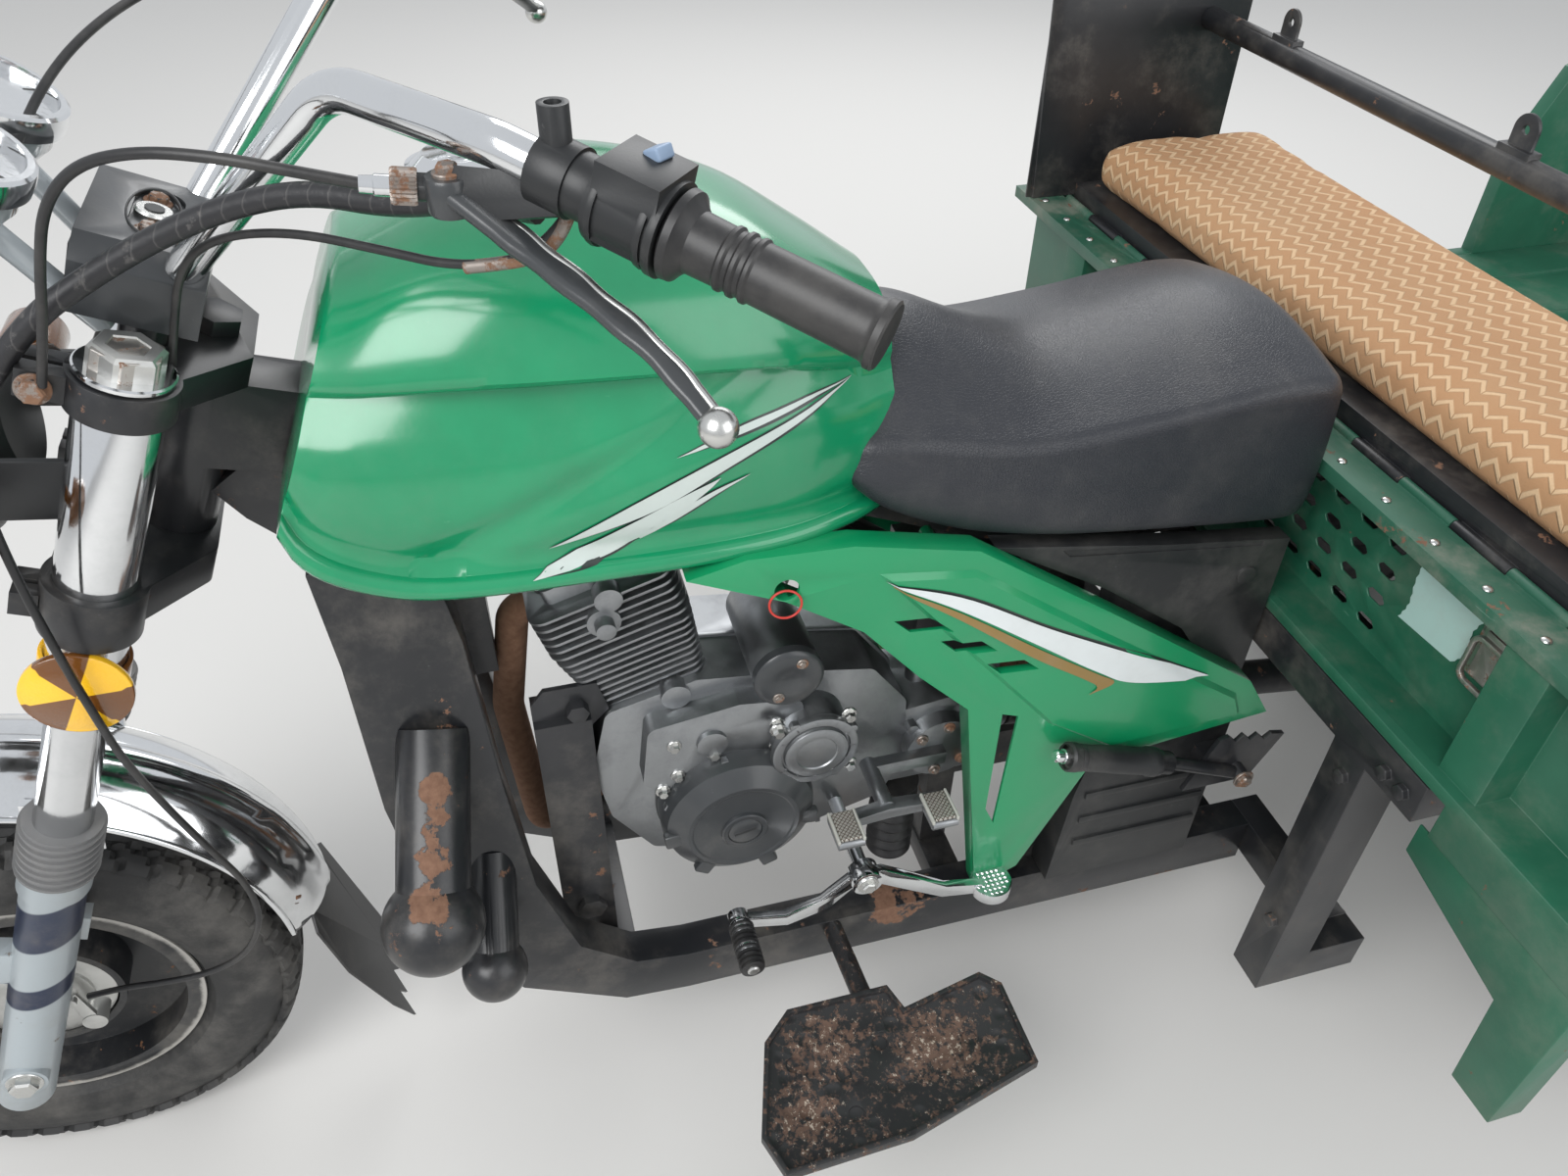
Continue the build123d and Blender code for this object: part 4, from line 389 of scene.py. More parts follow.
# %% Mix the soft and moulded finishes
MOULDINGS = {
    # name, base, roughness, grain, its depth, dust, coat, cells
    "green_plastic": ("green_cover_plastic", (0.004, 0.26, 0.098), 0.28, 300.0, 0.0001, 0.05, 0.4),
    "black_plastic": ("black_moulding", (0.014, 0.015, 0.016), 0.42, 420.0, 0.0002, 0.14),
    "vinyl": ("black_vinyl", (0.022, 0.024, 0.030), 0.36, 330.0, 0.0004, 0.08, 0.0, True),
    "rubber": ("black_rubber", (0.012, 0.012, 0.013), 0.42, 300.0, 0.0002, 0.12),
    "tyre": ("tyre_rubber", (0.018, 0.018, 0.018), 0.62, 260.0, 0.0005, 0.25),
    "red_lens": ("red_lens", (0.42, 0.01, 0.01), 0.18, 200.0, 0.0001, 0.1, 0.5),
    "dial": ("dial_glass", (0.42, 0.46, 0.48), 0.12, 90.0, 0.0001, 0.2, 0.8),
    "silver_foil": ("silver_foil", (0.50, 0.56, 0.53), 0.3, 200.0, 0.0001, 0.2, 0.3),
    "dark_foil": ("dark_foil", (0.012, 0.02, 0.018), 0.3, 200.0, 0.0001, 0.1, 0.3),
    "gold_foil": ("gold_foil", (0.27, 0.17, 0.05), 0.35, 200.0, 0.0001, 0.2),
    "white_foil": ("white_foil", (0.70, 0.74, 0.74), 0.3, 200.0, 0.0001, 0.15, 0.3),
    "pale_sticker": ("pale_sticker", (0.34, 0.50, 0.46), 0.6, 120.0, 0.0003, 0.5),
    "blue_key": ("blue_key", (0.22, 0.30, 0.42), 0.4, 300.0, 0.0001, 0.2),
    "pale_key": ("pale_key", (0.42, 0.42, 0.38), 0.5, 300.0, 0.0002, 0.5),
    "grey_seal": ("grey_seal", (0.16, 0.16, 0.16), 0.7, 260.0, 0.0003, 0.5),
    "red_wire": ("red_wire", (0.50, 0.03, 0.02), 0.35, 200.0, 0.0001, 0.1),
}


def moulded(name, base, rough, grain, depth, dust, coat=0.0, cells=False):
    finish = Finish(name)
    film = finish.patches(0.42, 0.75, 8.0, 8.0, 0.72) * dust
    long_ways = finish.stretched(1.6, 0.35, 1.0)
    scuffs = finish.patches(0.67, 0.72, 70.0, 7.0, 0.7, long_ways) * 0.25
    dusted = finish.mix(film, base, (0.32, 0.30, 0.27))
    height = finish.noise(grain, 4.0)
    if cells:
        leather = finish.cells(grain, "DISTANCE_TO_EDGE")
        height = height * 0.4 + finish.step(leather, 0.0, 0.12)
    return finish.surface(
        finish.mix(scuffs, dusted, [0.5 * c + 0.2 for c in base]),
        (film * 0.4 + scuffs * 0.3 + rough).clamped(), height, 0.4, depth,
        coat_weight=coat, coat_roughness=0.1,
    )


FINISHES.update({key: moulded(*row) for key, row in MOULDINGS.items()})
print("mouldings", len(MOULDINGS))

# %% [markdown]
# Seven pieces have a pattern of their own: the woven cushion, the reflectors' sectors,
# the banded fork legs, the worn front rim, the taped loom, the pads' tread and the
# peened footplates. Each pattern is arithmetic on the place of a point.

# %% Mix the patterned finishes
REFLECTOR = (0.233016, 0.807528)    # distance and height of the reflectors' centres
TREAD_PITCH = 0.0055


def woven_cloth():
    """Tan cloth woven in hooked ribs: slanted ribs that change side in each column."""
    finish = Finish("woven_cushion_cloth")
    x, distance, z = finish.axes()
    slant = ((x / 0.026).math("FRACT") - 0.5).absolute()
    rib = ((distance + z) / 0.024 + slant * 1.2).math("FRACT")
    raised = finish.step((rib - 0.5).absolute(), 0.22, 0.10)
    raised = (raised - finish.step(slant, 0.47, 0.495)).clamped()
    thread = finish.noise(420.0, 3.0)
    tan = finish.mix(finish.noise(7.0, 6.0), (0.40, 0.20, 0.09), (0.46, 0.29, 0.16))
    light = finish.mix(thread, (0.62, 0.42, 0.24), (0.74, 0.56, 0.36))
    colour = finish.mix(raised * 0.7, tan, light)
    return finish.surface(colour, 0.88, raised + thread * 0.25, 0.6, 0.0022)


def reflector_glass():
    """Six sectors of yellow and brown round the reflector's centre, with prism grain."""
    finish = Finish("reflector_glass")
    _, distance, z = finish.axes()
    turn = (z - REFLECTOR[1]).math("ARCTAN2", distance - REFLECTOR[0]) * 3.0
    sector = finish.step(turn.math("SINE"), -0.05, 0.05)
    colour = finish.mix(sector, (0.15, 0.055, 0.012), (0.90, 0.50, 0.02))
    return finish.surface(colour, 0.16, finish.cells(380.0), 0.35, 0.0005, coat_weight=0.6)


def fork_leg_paint():
    """Silver paint with two dark blue bands, dusty and chipped."""
    finish = Finish("banded_fork_paint")
    _, _, z = finish.axes()
    first = finish.step((z - 0.505).absolute(), 0.030, 0.027)
    second = finish.step((z - 0.405).absolute(), 0.016, 0.013)
    base = finish.mix((first + second).clamped(), (0.36, 0.40, 0.42), (0.012, 0.022, 0.055))
    film = finish.patches(0.45, 0.75, 9.0, 8.0, 0.7) * 0.35
    wear = finish.patches(0.64, 0.67, 30.0, 9.0, 0.72)
    return finish.surface(
        finish.mix(wear, finish.mix(film, base, ROAD_DUST), (0.20, 0.18, 0.16)),
        (film * 0.5 + wear * 0.3 + 0.34).clamped(),
        finish.noise(240.0, 3.0) * 0.3 - wear, 0.3, 0.0005, metallic=0.3,
    )


def worn_rim_paint():
    """Black paint that is worn to pale metal along the rim's flanges."""
    finish = Finish("worn_rim_paint")
    _, distance, z = finish.axes()
    rise = z - AXLE_Z
    radius = (distance * distance + rise * rise).math("SQRT")
    wear = finish.noise(34.0, 9.0, 0.72)
    flange = finish.step(radius + wear * 0.012, 0.166, 0.172)
    chips = finish.step(wear, 0.63, 0.66)
    film = finish.patches(0.42, 0.72, 9.0, 8.0, 0.7) * 0.35
    black = finish.mix(film, (0.014, 0.015, 0.017), (0.26, 0.24, 0.21))
    rusty = finish.mix(chips, black, (0.24, 0.11, 0.05))
    return finish.surface(
        finish.mix(flange * 0.8, rusty, (0.50, 0.48, 0.44)),
        (film * 0.5 + chips * 0.3 + 0.34).clamped(),
        finish.noise(240.0, 3.0) * 0.3 - chips, 0.35, 0.0006,
    )


def taped_loom():
    """Black cloth tape wound in slanted turns with scuffed edges."""
    finish = Finish("taped_loom")
    x, distance, _ = finish.axes()
    wind = ((x * 0.8 + distance) / 0.019 + finish.noise(14.0) * 0.9).math("FRACT")
    edge = finish.step(wind, 0.12, 0.0)
    scuff = finish.patches(0.58, 0.66, 60.0, 7.0, 0.7) * 0.35
    pale = (edge * 0.25 + scuff).clamped()
    return finish.surface(
        finish.mix(pale, (0.016, 0.016, 0.018), (0.20, 0.19, 0.18)),
        (scuff + 0.42).clamped(), wind * 0.8 + finish.noise(200.0) * 0.4, 0.5, 0.0014,
    )


def pad_tread():
    """A grooved metal tread: raised diamonds, worn bright on top and brown between."""
    finish = Finish("pad_tread")
    x, distance, _ = finish.axes()
    first, second = [
        ((line / TREAD_PITCH).math("FRACT") - 0.5).absolute()
        for line in (x + distance, x - distance)
    ]
    stud = finish.step(first.math("MAXIMUM", second), 0.46, 0.34)
    colour = finish.mix(stud, (0.10, 0.07, 0.05), (0.44, 0.42, 0.38))
    return finish.surface(colour, 0.45, stud, 0.7, 0.0012, metallic=0.6)


def peened_plate():
    """Black pressed plate with hammered dimples, brown and sandy where boots rub."""
    finish = Finish("peened_plate")
    wear = finish.noise(95.0, 9.0, 0.75)
    for spot, reach in PLATE_SPOTS:
        wear = wear + finish.step(finish.distance_to(spot) / reach, 1.0, 0.1) * 0.12
    rusty = finish.step(wear, 0.53, 0.60)
    sandy = finish.step(finish.noise(150.0, 8.0, 0.8) + wear * 0.5, 0.87, 0.92)
    tone = finish.mix(finish.noise(60.0, 4.0), (0.05, 0.03, 0.022), (0.17, 0.10, 0.07))
    worn = finish.mix(rusty, (0.020, 0.020, 0.021), tone)
    dimples = finish.step(finish.cells(36.0), 0.10, 0.40)
    return finish.surface(
        finish.mix(sandy, worn, (0.42, 0.36, 0.29)), (rusty * 0.35 + 0.45).clamped(),
        dimples * 1.4 + rusty * 0.2, 0.7, 0.002,
    )


FINISHES.update({
    "cushion_cloth": woven_cloth(), "reflector": reflector_glass(),
    "fork_leg": fork_leg_paint(), "rim": worn_rim_paint(), "loom": taped_loom(),
    "pad_tread": pad_tread(), "peened": peened_plate(),
})
print("finishes", len(FINISHES))

# %% [markdown]
# The rigid pieces keep the solids' own shapes. A CAD mesh is loose flat triangles, so
# each piece works on a copy: its doubled corners are merged, flat triangles are joined
# into faces, a small bevel breaks the sharp edges so that they catch the light, and
# smooth shading stops at real corners.

# %% Dress the rigid pieces
FLAT, CORNER = math.radians(0.6), math.radians(38.0)
EDGE_BEVEL = 0.0012
CAD_DOUBLES, SKIN_DOUBLES = 0.00002, 0.00001


def pick(piece):
    """Makes one piece the only selected one and the active one."""
    bpy.ops.object.select_all(action="DESELECT")
    piece.select_set(True)
    bpy.context.view_layer.objects.active = piece


def work_on(piece):
    """Opens one piece in edit mode with all of it selected."""
    pick(piece)
    bpy.ops.object.mode_set(mode="EDIT")
    bpy.ops.mesh.select_all(action="SELECT")


def leave_edit():
    bpy.ops.object.mode_set(mode="OBJECT")


def modify(piece, kind, **settings):
    """Adds a modifier, sets it and applies it."""
    modifier = piece.modifiers.new(kind.lower(), kind)
    for key, value in settings.items():
        setattr(modifier, key, value)
    pick(piece)
    bpy.ops.object.modifier_apply(modifier=modifier.name)


def settle(piece, node, finish, smooth=35.0):
    """Shades a piece, gives it its finish and the body that it rides on."""
    pick(piece)
    bpy.ops.object.shade_smooth_by_angle(angle=math.radians(smooth))
    piece.data.materials.clear()
    piece.data.materials.append(FINISHES[finish].material)
    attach(piece, BODY_OF[node])


def dress(node, finish):
    """Replaces a CAD node by a merged and bevelled copy in a finish."""
    piece = bpy.data.objects.new(node + "_piece", frame["nodes"][node].data.copy())
    bpy.context.scene.collection.objects.link(piece)
    work_on(piece)
    bpy.ops.mesh.remove_doubles(threshold=CAD_DOUBLES)
    bpy.ops.mesh.dissolve_limited(angle_limit=FLAT)
    leave_edit()
    modify(
        piece, "BEVEL", width=EDGE_BEVEL, segments=2, limit_method="ANGLE", angle_limit=CORNER,
    )
    settle(piece, node, finish)
    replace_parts(piece, node)
    return piece


print("dressing ready")

# %% [markdown]
# Pressed and moulded forms with changing sections, such as the tank and the saddle, are
# skins over rings of points. A grid is added with one column for each point of a ring
# and one row for each ring, its corners are moved to the rings, and the seam where the
# first and last columns meet is merged. What turns on a lathe is a skin over circles.

# %% Make skins and turned pieces


def skin(name, rings, closed=True, caps=True):
    """A surface over rings that all have the same number of points."""
    columns, rows = len(rings[0]) - (0 if closed else 1), len(rings) - 1
    piece = new_piece(
        name, bpy.ops.mesh.primitive_grid_add, x_subdivisions=columns, y_subdivisions=rows,
        size=2.0,
    )
    for corner in piece.data.vertices:
        column = round((corner.co.x + 1.0) / 2.0 * columns)
        row = round((corner.co.y + 1.0) / 2.0 * rows)
        corner.co = rings[row][column % len(rings[0])]
    work_on(piece)
    bpy.ops.mesh.remove_doubles(threshold=SKIN_DOUBLES)
    if caps:
        bpy.ops.mesh.select_all(action="DESELECT")
        bpy.ops.mesh.select_non_manifold(
            extend=False, use_wire=False, use_multi_face=False, use_non_contiguous=False,
            use_verts=False,
        )
        bpy.ops.mesh.edge_face_add()
        bpy.ops.mesh.select_all(action="SELECT")
    bpy.ops.mesh.normals_make_consistent(inside=False)
    leave_edit()
    return piece


def face_along(piece, outward):
    """Flips an open sheet whose middle face looks away from a direction."""
    if piece.data.polygons[len(piece.data.polygons) // 2].normal.dot(outward) < 0.0:
        work_on(piece)
        bpy.ops.mesh.flip_normals()
        leave_edit()


def both_halves(left):
    """A closed ring from its left half, which starts and ends on the middle plane."""
    return left + [Vector((-point.x, point.y, point.z)) for point in left[-2:0:-1]]


def turned(name, start, end, profile, segments, knurl):
    """A lathed piece: profile pairs are the share of the way along and the radius in mm."""
    along = end - start
    side = along.orthogonal().normalized()
    other = along.normalized().cross(side)
    rings = []
    for share, radius in profile:
        ring = []
        for number in range(segments):
            turn = 2.0 * math.pi * number / segments
            reach = (radius - (knurl if number % 2 else 0.0)) / 1000.0
            out = side * math.cos(turn) + other * math.sin(turn)
            ring.append(start + along * share + out * reach)
        rings.append(ring)
    return skin(name, rings)


def sleeve(name, node, start, rise, profile, finish, segments=40, knurl=0.0, smooth=35.0):
    """A turned piece from a point along a vector, settled at once."""
    piece = turned(name, start, start + rise, profile, segments, knurl)
    settle(piece, node, finish, smooth)
    return piece


def blend_values(table, at):
    """A smooth curve through the rows of a short (place, value) table."""
    at = max(table[0][0], min(table[-1][0], at))
    number = 0
    while number < len(table) - 2 and at > table[number + 1][0]:
        number += 1
    before, after = table[max(0, number - 1)], table[min(len(table) - 1, number + 2)]
    (low, first), (high, second) = table[number], table[number + 1]
    wide = high - low
    start = (second - before[1]) / (high - before[0]) * wide
    end = (after[1] - first) / (after[0] - low) * wide
    t = (at - low) / wide
    bent = first * (2 * t ** 3 - 3 * t ** 2 + 1) + second * (3 * t ** 2 - 2 * t ** 3)
    return bent + start * (t ** 3 - 2 * t ** 2 + t) + end * (t ** 3 - t ** 2)


print("skins ready")

# %% [markdown]
# The tank is pressed steel: a rounded flange runs down its front and along its lower
# edge, a shallow valley crosses the flat side, and a long bulge overhangs a knee recess.
# Its half width is written as a sum of these forms, station by station, so that each
# crease can be moved by one number. Its front face lies behind the turning fork.

# %% Press the fuel tank
TANK_LOW = [(0.0, 0.922), (0.04, 0.896), (0.12, 0.872), (0.25, 0.854), (0.5, 0.850), (1.0, 0.846)]
TANK_CREST = [
    (0.0, 1.112), (0.15, 1.146), (0.32, 1.154), (0.52, 1.144), (0.72, 1.117), (0.88, 1.074),
    (1.0, 1.036),
]
TANK_LIP = [
    (0.0, 0.132), (0.08, 0.145), (0.25, 0.158), (0.6, 0.162), (0.8, 0.154), (0.92, 0.132),
    (1.0, 0.106),
]
TANK_BULGE = [
    (0.0, 0.112), (0.1, 0.136), (0.3, 0.157), (0.55, 0.160), (0.75, 0.146), (0.9, 0.112),
    (1.0, 0.078),
]
TANK_FOLD = [(0.0, 1.030), (0.3, 1.034), (0.7, 1.022), (1.0, 0.985)]
TANK_GAP = 0.1205           # from the fork's axis to the tank's front
RAKE_SIN, RAKE_COS = 0.3987, 0.917
TANK_REAR = 0.945
TANK_STATIONS = 44
TUNNEL = 0.036
SIDE_STEPS, CROWN_STEPS = 16, 18
FLANGE_WIDE, FLANGE_HIGH = 0.009, 0.010
# Depths of the forms of the flat side: its swell, the knee recess and the lower flute.
SWELL, RECESS, FLUTE = 0.010, 0.017, 0.007
VALLEY_START, VALLEY_RUN = Vector((0.510, 0.882)), Vector((0.246, 0.112)).normalized()
VALLEY_DEPTH, VALLEY_WIDTH, VALLEY_FADE = 0.0085, 0.015, 0.05


def tank_distance(share, z):
    """How far back a point of the tank lies: the front leans back like the fork."""
    front = (TANK_GAP + (z - AXLE_Z) * RAKE_SIN) / RAKE_COS
    return front * (1.0 - share) + TANK_REAR * share


def tank_valley(distance, z):
    """Depth of the diagonal valley that crosses the tank's side."""
    offset = Vector((distance, z)) - VALLEY_START
    across = VALLEY_RUN.x * offset.y - VALLEY_RUN.y * offset.x
    reach = max(0.0, min(1.0, (offset.dot(VALLEY_RUN) + 0.02) / VALLEY_FADE))
    return VALLEY_DEPTH * math.exp(-((across / VALLEY_WIDTH) ** 2)) * reach


def tank_profile(share):
    """The left half of a section, as (x, z) from the tunnel's top round to the crest."""
    low, lip, fold, crest, bulge = [
        blend_values(table, share)
        for table in (TANK_LOW, TANK_LIP, TANK_FOLD, TANK_CREST, TANK_BULGE)
    ]
    points = [(0.0, low + 0.05), (TUNNEL, low + 0.05), (TUNNEL, low + 0.002), (lip - 0.02, low)]
    for turn in range(-80, 101, 30):
        angle = math.radians(turn)
        x = lip - 0.006 + FLANGE_WIDE * math.cos(angle)
        points.append((x, low + FLANGE_HIGH * (1.0 + math.sin(angle))))
    foot = low + 0.024
    for number in range(1, SIDE_STEPS + 1):
        t = number / SIDE_STEPS
        z = foot + (fold - foot) * t
        swell = SWELL * math.sin(math.pi * min(1.0, t * 1.15)) ** 0.8
        recess = RECESS * t ** 6
        flute = FLUTE * (1.0 - t) ** 10
        valley = tank_valley(tank_distance(share, z), z)
        points.append((lip - 0.010 + swell - recess - flute - valley, z))
    edge = points[-1][0]
    for number in range(1, CROWN_STEPS + 1):
        angle = math.radians(90.0 / CROWN_STEPS * number)
        rise = math.sin(angle) ** 1.25
        x = (bulge + 0.004) * math.cos(angle) ** 0.62 if number < CROWN_STEPS else 0.0
        if number < 3:
            x = edge + (x - edge) * (0.45 + 0.27 * number)
        points.append((x, fold + 0.004 + (crest - fold - 0.004) * rise))
    return points


def press_tank():
    rings = []
    for number in range(TANK_STATIONS + 1):
        share = (number / TANK_STATIONS) ** 1.15
        rings.append(both_halves([
            Vector((x, tank_distance(share, z) + AXLE_Y, z)) for x, z in tank_profile(share)
        ]))
    return skin("fuel_tank_shell", rings)


tank = press_tank()
modify(
    tank, "BEVEL", width=0.004, segments=3, limit_method="ANGLE",
    angle_limit=math.radians(60.0),
)
settle(tank, "fuel_tank", "green_paint", 50.0)
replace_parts(tank, "fuel_tank")
print("tank", len(tank.data.polygons), "faces")

# %% [markdown]
# The saddle is foam under grained vinyl. Two lobes clasp the tank's tail, the seat dips
# and then rises to a broad back, and a deep skirt hangs nearly straight down. Each
# section is a rounded box whose measures change along the seat.

# %% Upholster the saddle
SEAT_LOW = [(0.0, 0.876), (0.1, 0.846), (0.22, 0.820), (0.45, 0.798), (1.0, 0.772)]
SEAT_HALF = [(0.0, 0.128), (0.06, 0.139), (0.2, 0.145), (0.6, 0.149), (0.93, 0.150), (1.0, 0.140)]
SEAT_SHOULDER = [
    (0.0, 0.934), (0.12, 0.934), (0.35, 0.914), (0.6, 0.922), (0.85, 0.938), (0.96, 0.936),
    (1.0, 0.926),
]
SEAT_CREST = [
    (0.0, 1.010), (0.1, 1.002), (0.25, 0.970), (0.4, 0.946), (0.62, 0.952), (0.82, 0.966),
    (0.95, 0.962), (1.0, 0.950),
]
# How far each section keeps its size near the two ends, which are rounded off.
SEAT_ENDS = [
    (0.0, 0.80), (0.006, 0.90), (0.02, 0.965), (0.05, 1.0), (0.975, 1.0), (0.990, 0.99),
    (0.996, 0.975), (1.0, 0.94),
]
SEAT_FRONT, SEAT_REAR, SEAT_MIDDLE = 0.938, 1.402, 0.9
LOBE_REACH, SKIRT_LEAN = 0.058, 0.5
SHOULDER_ROUND = 0.020


def seat_distance(share, x, z):
    """The front edge comes forward at the sides, and the skirt's end leans back below."""
    lobe = LOBE_REACH * min(1.0, abs(x) / 0.14) ** 2
    front = SEAT_FRONT - lobe + SKIRT_LEAN * max(0.0, SEAT_MIDDLE - z)
    return front * (1.0 - share) + SEAT_REAR * share


def seat_profile(share):
    """The left half of a section, as (x, z) from under the seat round to its crest."""
    low, half, shoulder, crest = [
        blend_values(table, share) for table in (SEAT_LOW, SEAT_HALF, SEAT_SHOULDER, SEAT_CREST)
    ]
    points = [
        (0.0, low + 0.012), (half * 0.6, low + 0.012), (half - 0.014, low + 0.010),
        (half - 0.010, low), (half - 0.003, low + 0.002),
    ]
    for number in range(1, 9):
        t = number / 8.0
        x = half + 0.004 * math.sin(math.pi * t) - 0.002 * t
        points.append((x, low + 0.006 + (shoulder - 0.022 - low) * t))
    for number in range(1, 8):
        angle = math.radians(90.0 * number / 8.0)
        x = half - 0.002 - SHOULDER_ROUND * (1.0 - math.cos(angle))
        points.append((x, shoulder - 0.016 + SHOULDER_ROUND * math.sin(angle)))
    start_x, start_z = points[-1]
    for number in range(1, 13):
        t = number / 12.0
        z = start_z + (crest - start_z) * math.sin(math.pi / 2 * t)
        points.append((start_x * (1.0 - t), z))
    return points


def upholster_saddle():
    shares = [0.0, 0.006, 0.018, 0.035] + [0.06 + 0.89 * step / 34 for step in range(35)]
    rings = []
    for share in shares + [0.965, 0.98, 0.992, 1.0]:
        ends = blend_values(SEAT_ENDS, share)
        left = []
        for x, z in seat_profile(share):
            z = SEAT_MIDDLE + (z - SEAT_MIDDLE) * ends
            left.append(Vector((x * ends, seat_distance(share, x, z) + AXLE_Y, z)))
        rings.append(both_halves(left))
    return skin("saddle_pad", rings)


saddle = upholster_saddle()
modify(saddle, "SUBSURF", levels=1, render_levels=1)
settle(saddle, "saddle", "vinyl", 80.0)
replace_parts(saddle, "saddle")
print("saddle", len(saddle.data.polygons), "faces")

# %% [markdown]
# The tyres have a squirm-grooved tread, rounded shoulders and moulded rings on their
# sides. A closed section is turned round the axle, and the tread's grooves are cut by
# moving the outer points inwards along zigzag lines.

# %% Mould the tyres
TYRES = [
    # node, place of the hub, outer radius, half width
    ("front_tyre", (0.0, 0.0, 272.0), 0.272, 0.059),
    ("rear_tyre_left", (520.0, 2200.0, 284.0), 0.284, 0.065),
    ("rear_tyre_right", (-520.0, 2200.0, 284.0), 0.284, 0.065),
]
TYRE_STEPS = 288
LUGS = 48
BEAD = [(0.0385, 0.1525, 0.0), (0.0385, 0.1645, 0.0), (0.0405, 0.1715, 0.0)]
TREAD_DEPTH, TREAD_ARC, TREAD_DROP = 0.0055, 1.18, 0.015
SIDE_RINGS, RING_HEIGHT = (3, 5, 10), 0.0012
# Three wavy grooves run round the tread; their places are shares of its half width.
GROOVES, GROOVE_HALF, GROOVE_WAVE = (-0.46, -0.02, 0.44), 0.0032, 0.0045


def tyre_section(outer, half):
    """(x, radius, share of tread) round the section, from bead to bead."""
    side = []
    for number in range(1, 13):
        t = number / 13.0
        radius = 0.172 + (outer - 0.014 - 0.172) * t
        x = half * (0.70 + 0.30 * math.sin(math.pi * min(1.0, 0.12 + 0.85 * t)) ** 0.7)
        side.append((x + (RING_HEIGHT if number in SIDE_RINGS else 0.0), radius, 0.0))
    tread = []
    for number in range(-12, 13):
        t = number / 12.0
        x = half * 0.93 * math.sin(t * TREAD_ARC) / math.sin(TREAD_ARC)
        tread.append((x, outer - TREAD_DROP * abs(t) ** 2.4, 1.0))
    wall = BEAD + side
    return [(-x, radius, share) for x, radius, share in wall] + tread + wall[::-1]


def on_lug(x, half, turn):
    """1 on a lug and 0 in a groove of the tread."""
    wave = math.cos(LUGS * turn) * GROOVE_WAVE
    if any(abs(x - line * half - wave) < GROOVE_HALF for line in GROOVES):
        return 0.0
    cross = (LUGS * turn / (2 * math.pi) + 0.9 * abs(x) / half) % 1.0
    return 0.0 if cross < 0.2 and abs(x) > 0.3 * half else 1.0


def mould_tyre(node, hub, outer, half):
    centre = place(*hub)
    section = tyre_section(outer, half)
    rings = []
    for step in range(TYRE_STEPS):
        turn = 2.0 * math.pi * step / TYRE_STEPS
        ring = []
        for x, radius, tread in section:
            if tread:
                radius -= TREAD_DEPTH * (1.0 - on_lug(x, half, turn))
            ring.append(centre + Vector((x, radius * math.cos(turn), radius * math.sin(turn))))
        rings.append(ring)
    rings.append(rings[0])
    piece = skin(node + "_rubber", rings, caps=False)
    settle(piece, node, "tyre", 28.0)
    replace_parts(piece, node)
    return piece


for row in TYRES:
    made = mould_tyre(*row)
    print(made.name, len(made.data.polygons), "faces")

# %% [markdown]
# The handlebar's grips are soft rubber sleeves with rings near the switch housing and a
# rounded end. They are turned on the bar's own axis, one on each side.

# %% Turn the grips
GRIP_PROFILE = [
    (0.0, 10.0), (0.0, 19.0), (0.01, 20.5), (0.04, 20.5), (0.055, 18.6), (0.075, 18.0),
    (0.60, 17.6), (0.612, 19.0), (0.628, 19.0), (0.64, 17.4), (0.66, 17.4), (0.672, 19.0),
    (0.688, 19.0), (0.70, 17.4), (0.72, 17.4), (0.732, 19.0), (0.748, 19.0), (0.76, 17.6),
    (0.90, 18.0), (0.93, 22.0), (0.95, 26.0), (0.985, 26.5), (1.0, 24.0), (1.0, 14.0),
]


GRIP_OVERHANG, GRIP_LENGTH = 0.008, 0.132


def bar_end(side):
    """The outer end of the bar on one side and the direction inwards along it."""
    end, inner = place(412.0 * side, 800.0, 1200.0), place(262.0 * side, 622.0, 1262.0)
    return end, (inner - end).normalized()


for side, word in SIDES:
    end, inward = bar_end(side)
    grip = sleeve(
        "grip_" + word, "grips", end - inward * GRIP_OVERHANG, inward * GRIP_LENGTH,
        GRIP_PROFILE, "rubber", smooth=40.0,
    )
    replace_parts(grip, "grips")
print("grips turned")

# %% [markdown]
# The cables and the wiring loom are round sheaths along smooth lines. They are held at
# both ends, at a lever or switch and on the steering head or the hub, so each is one
# NURBS curve drawn by the route's points and made a mesh with its thickness.

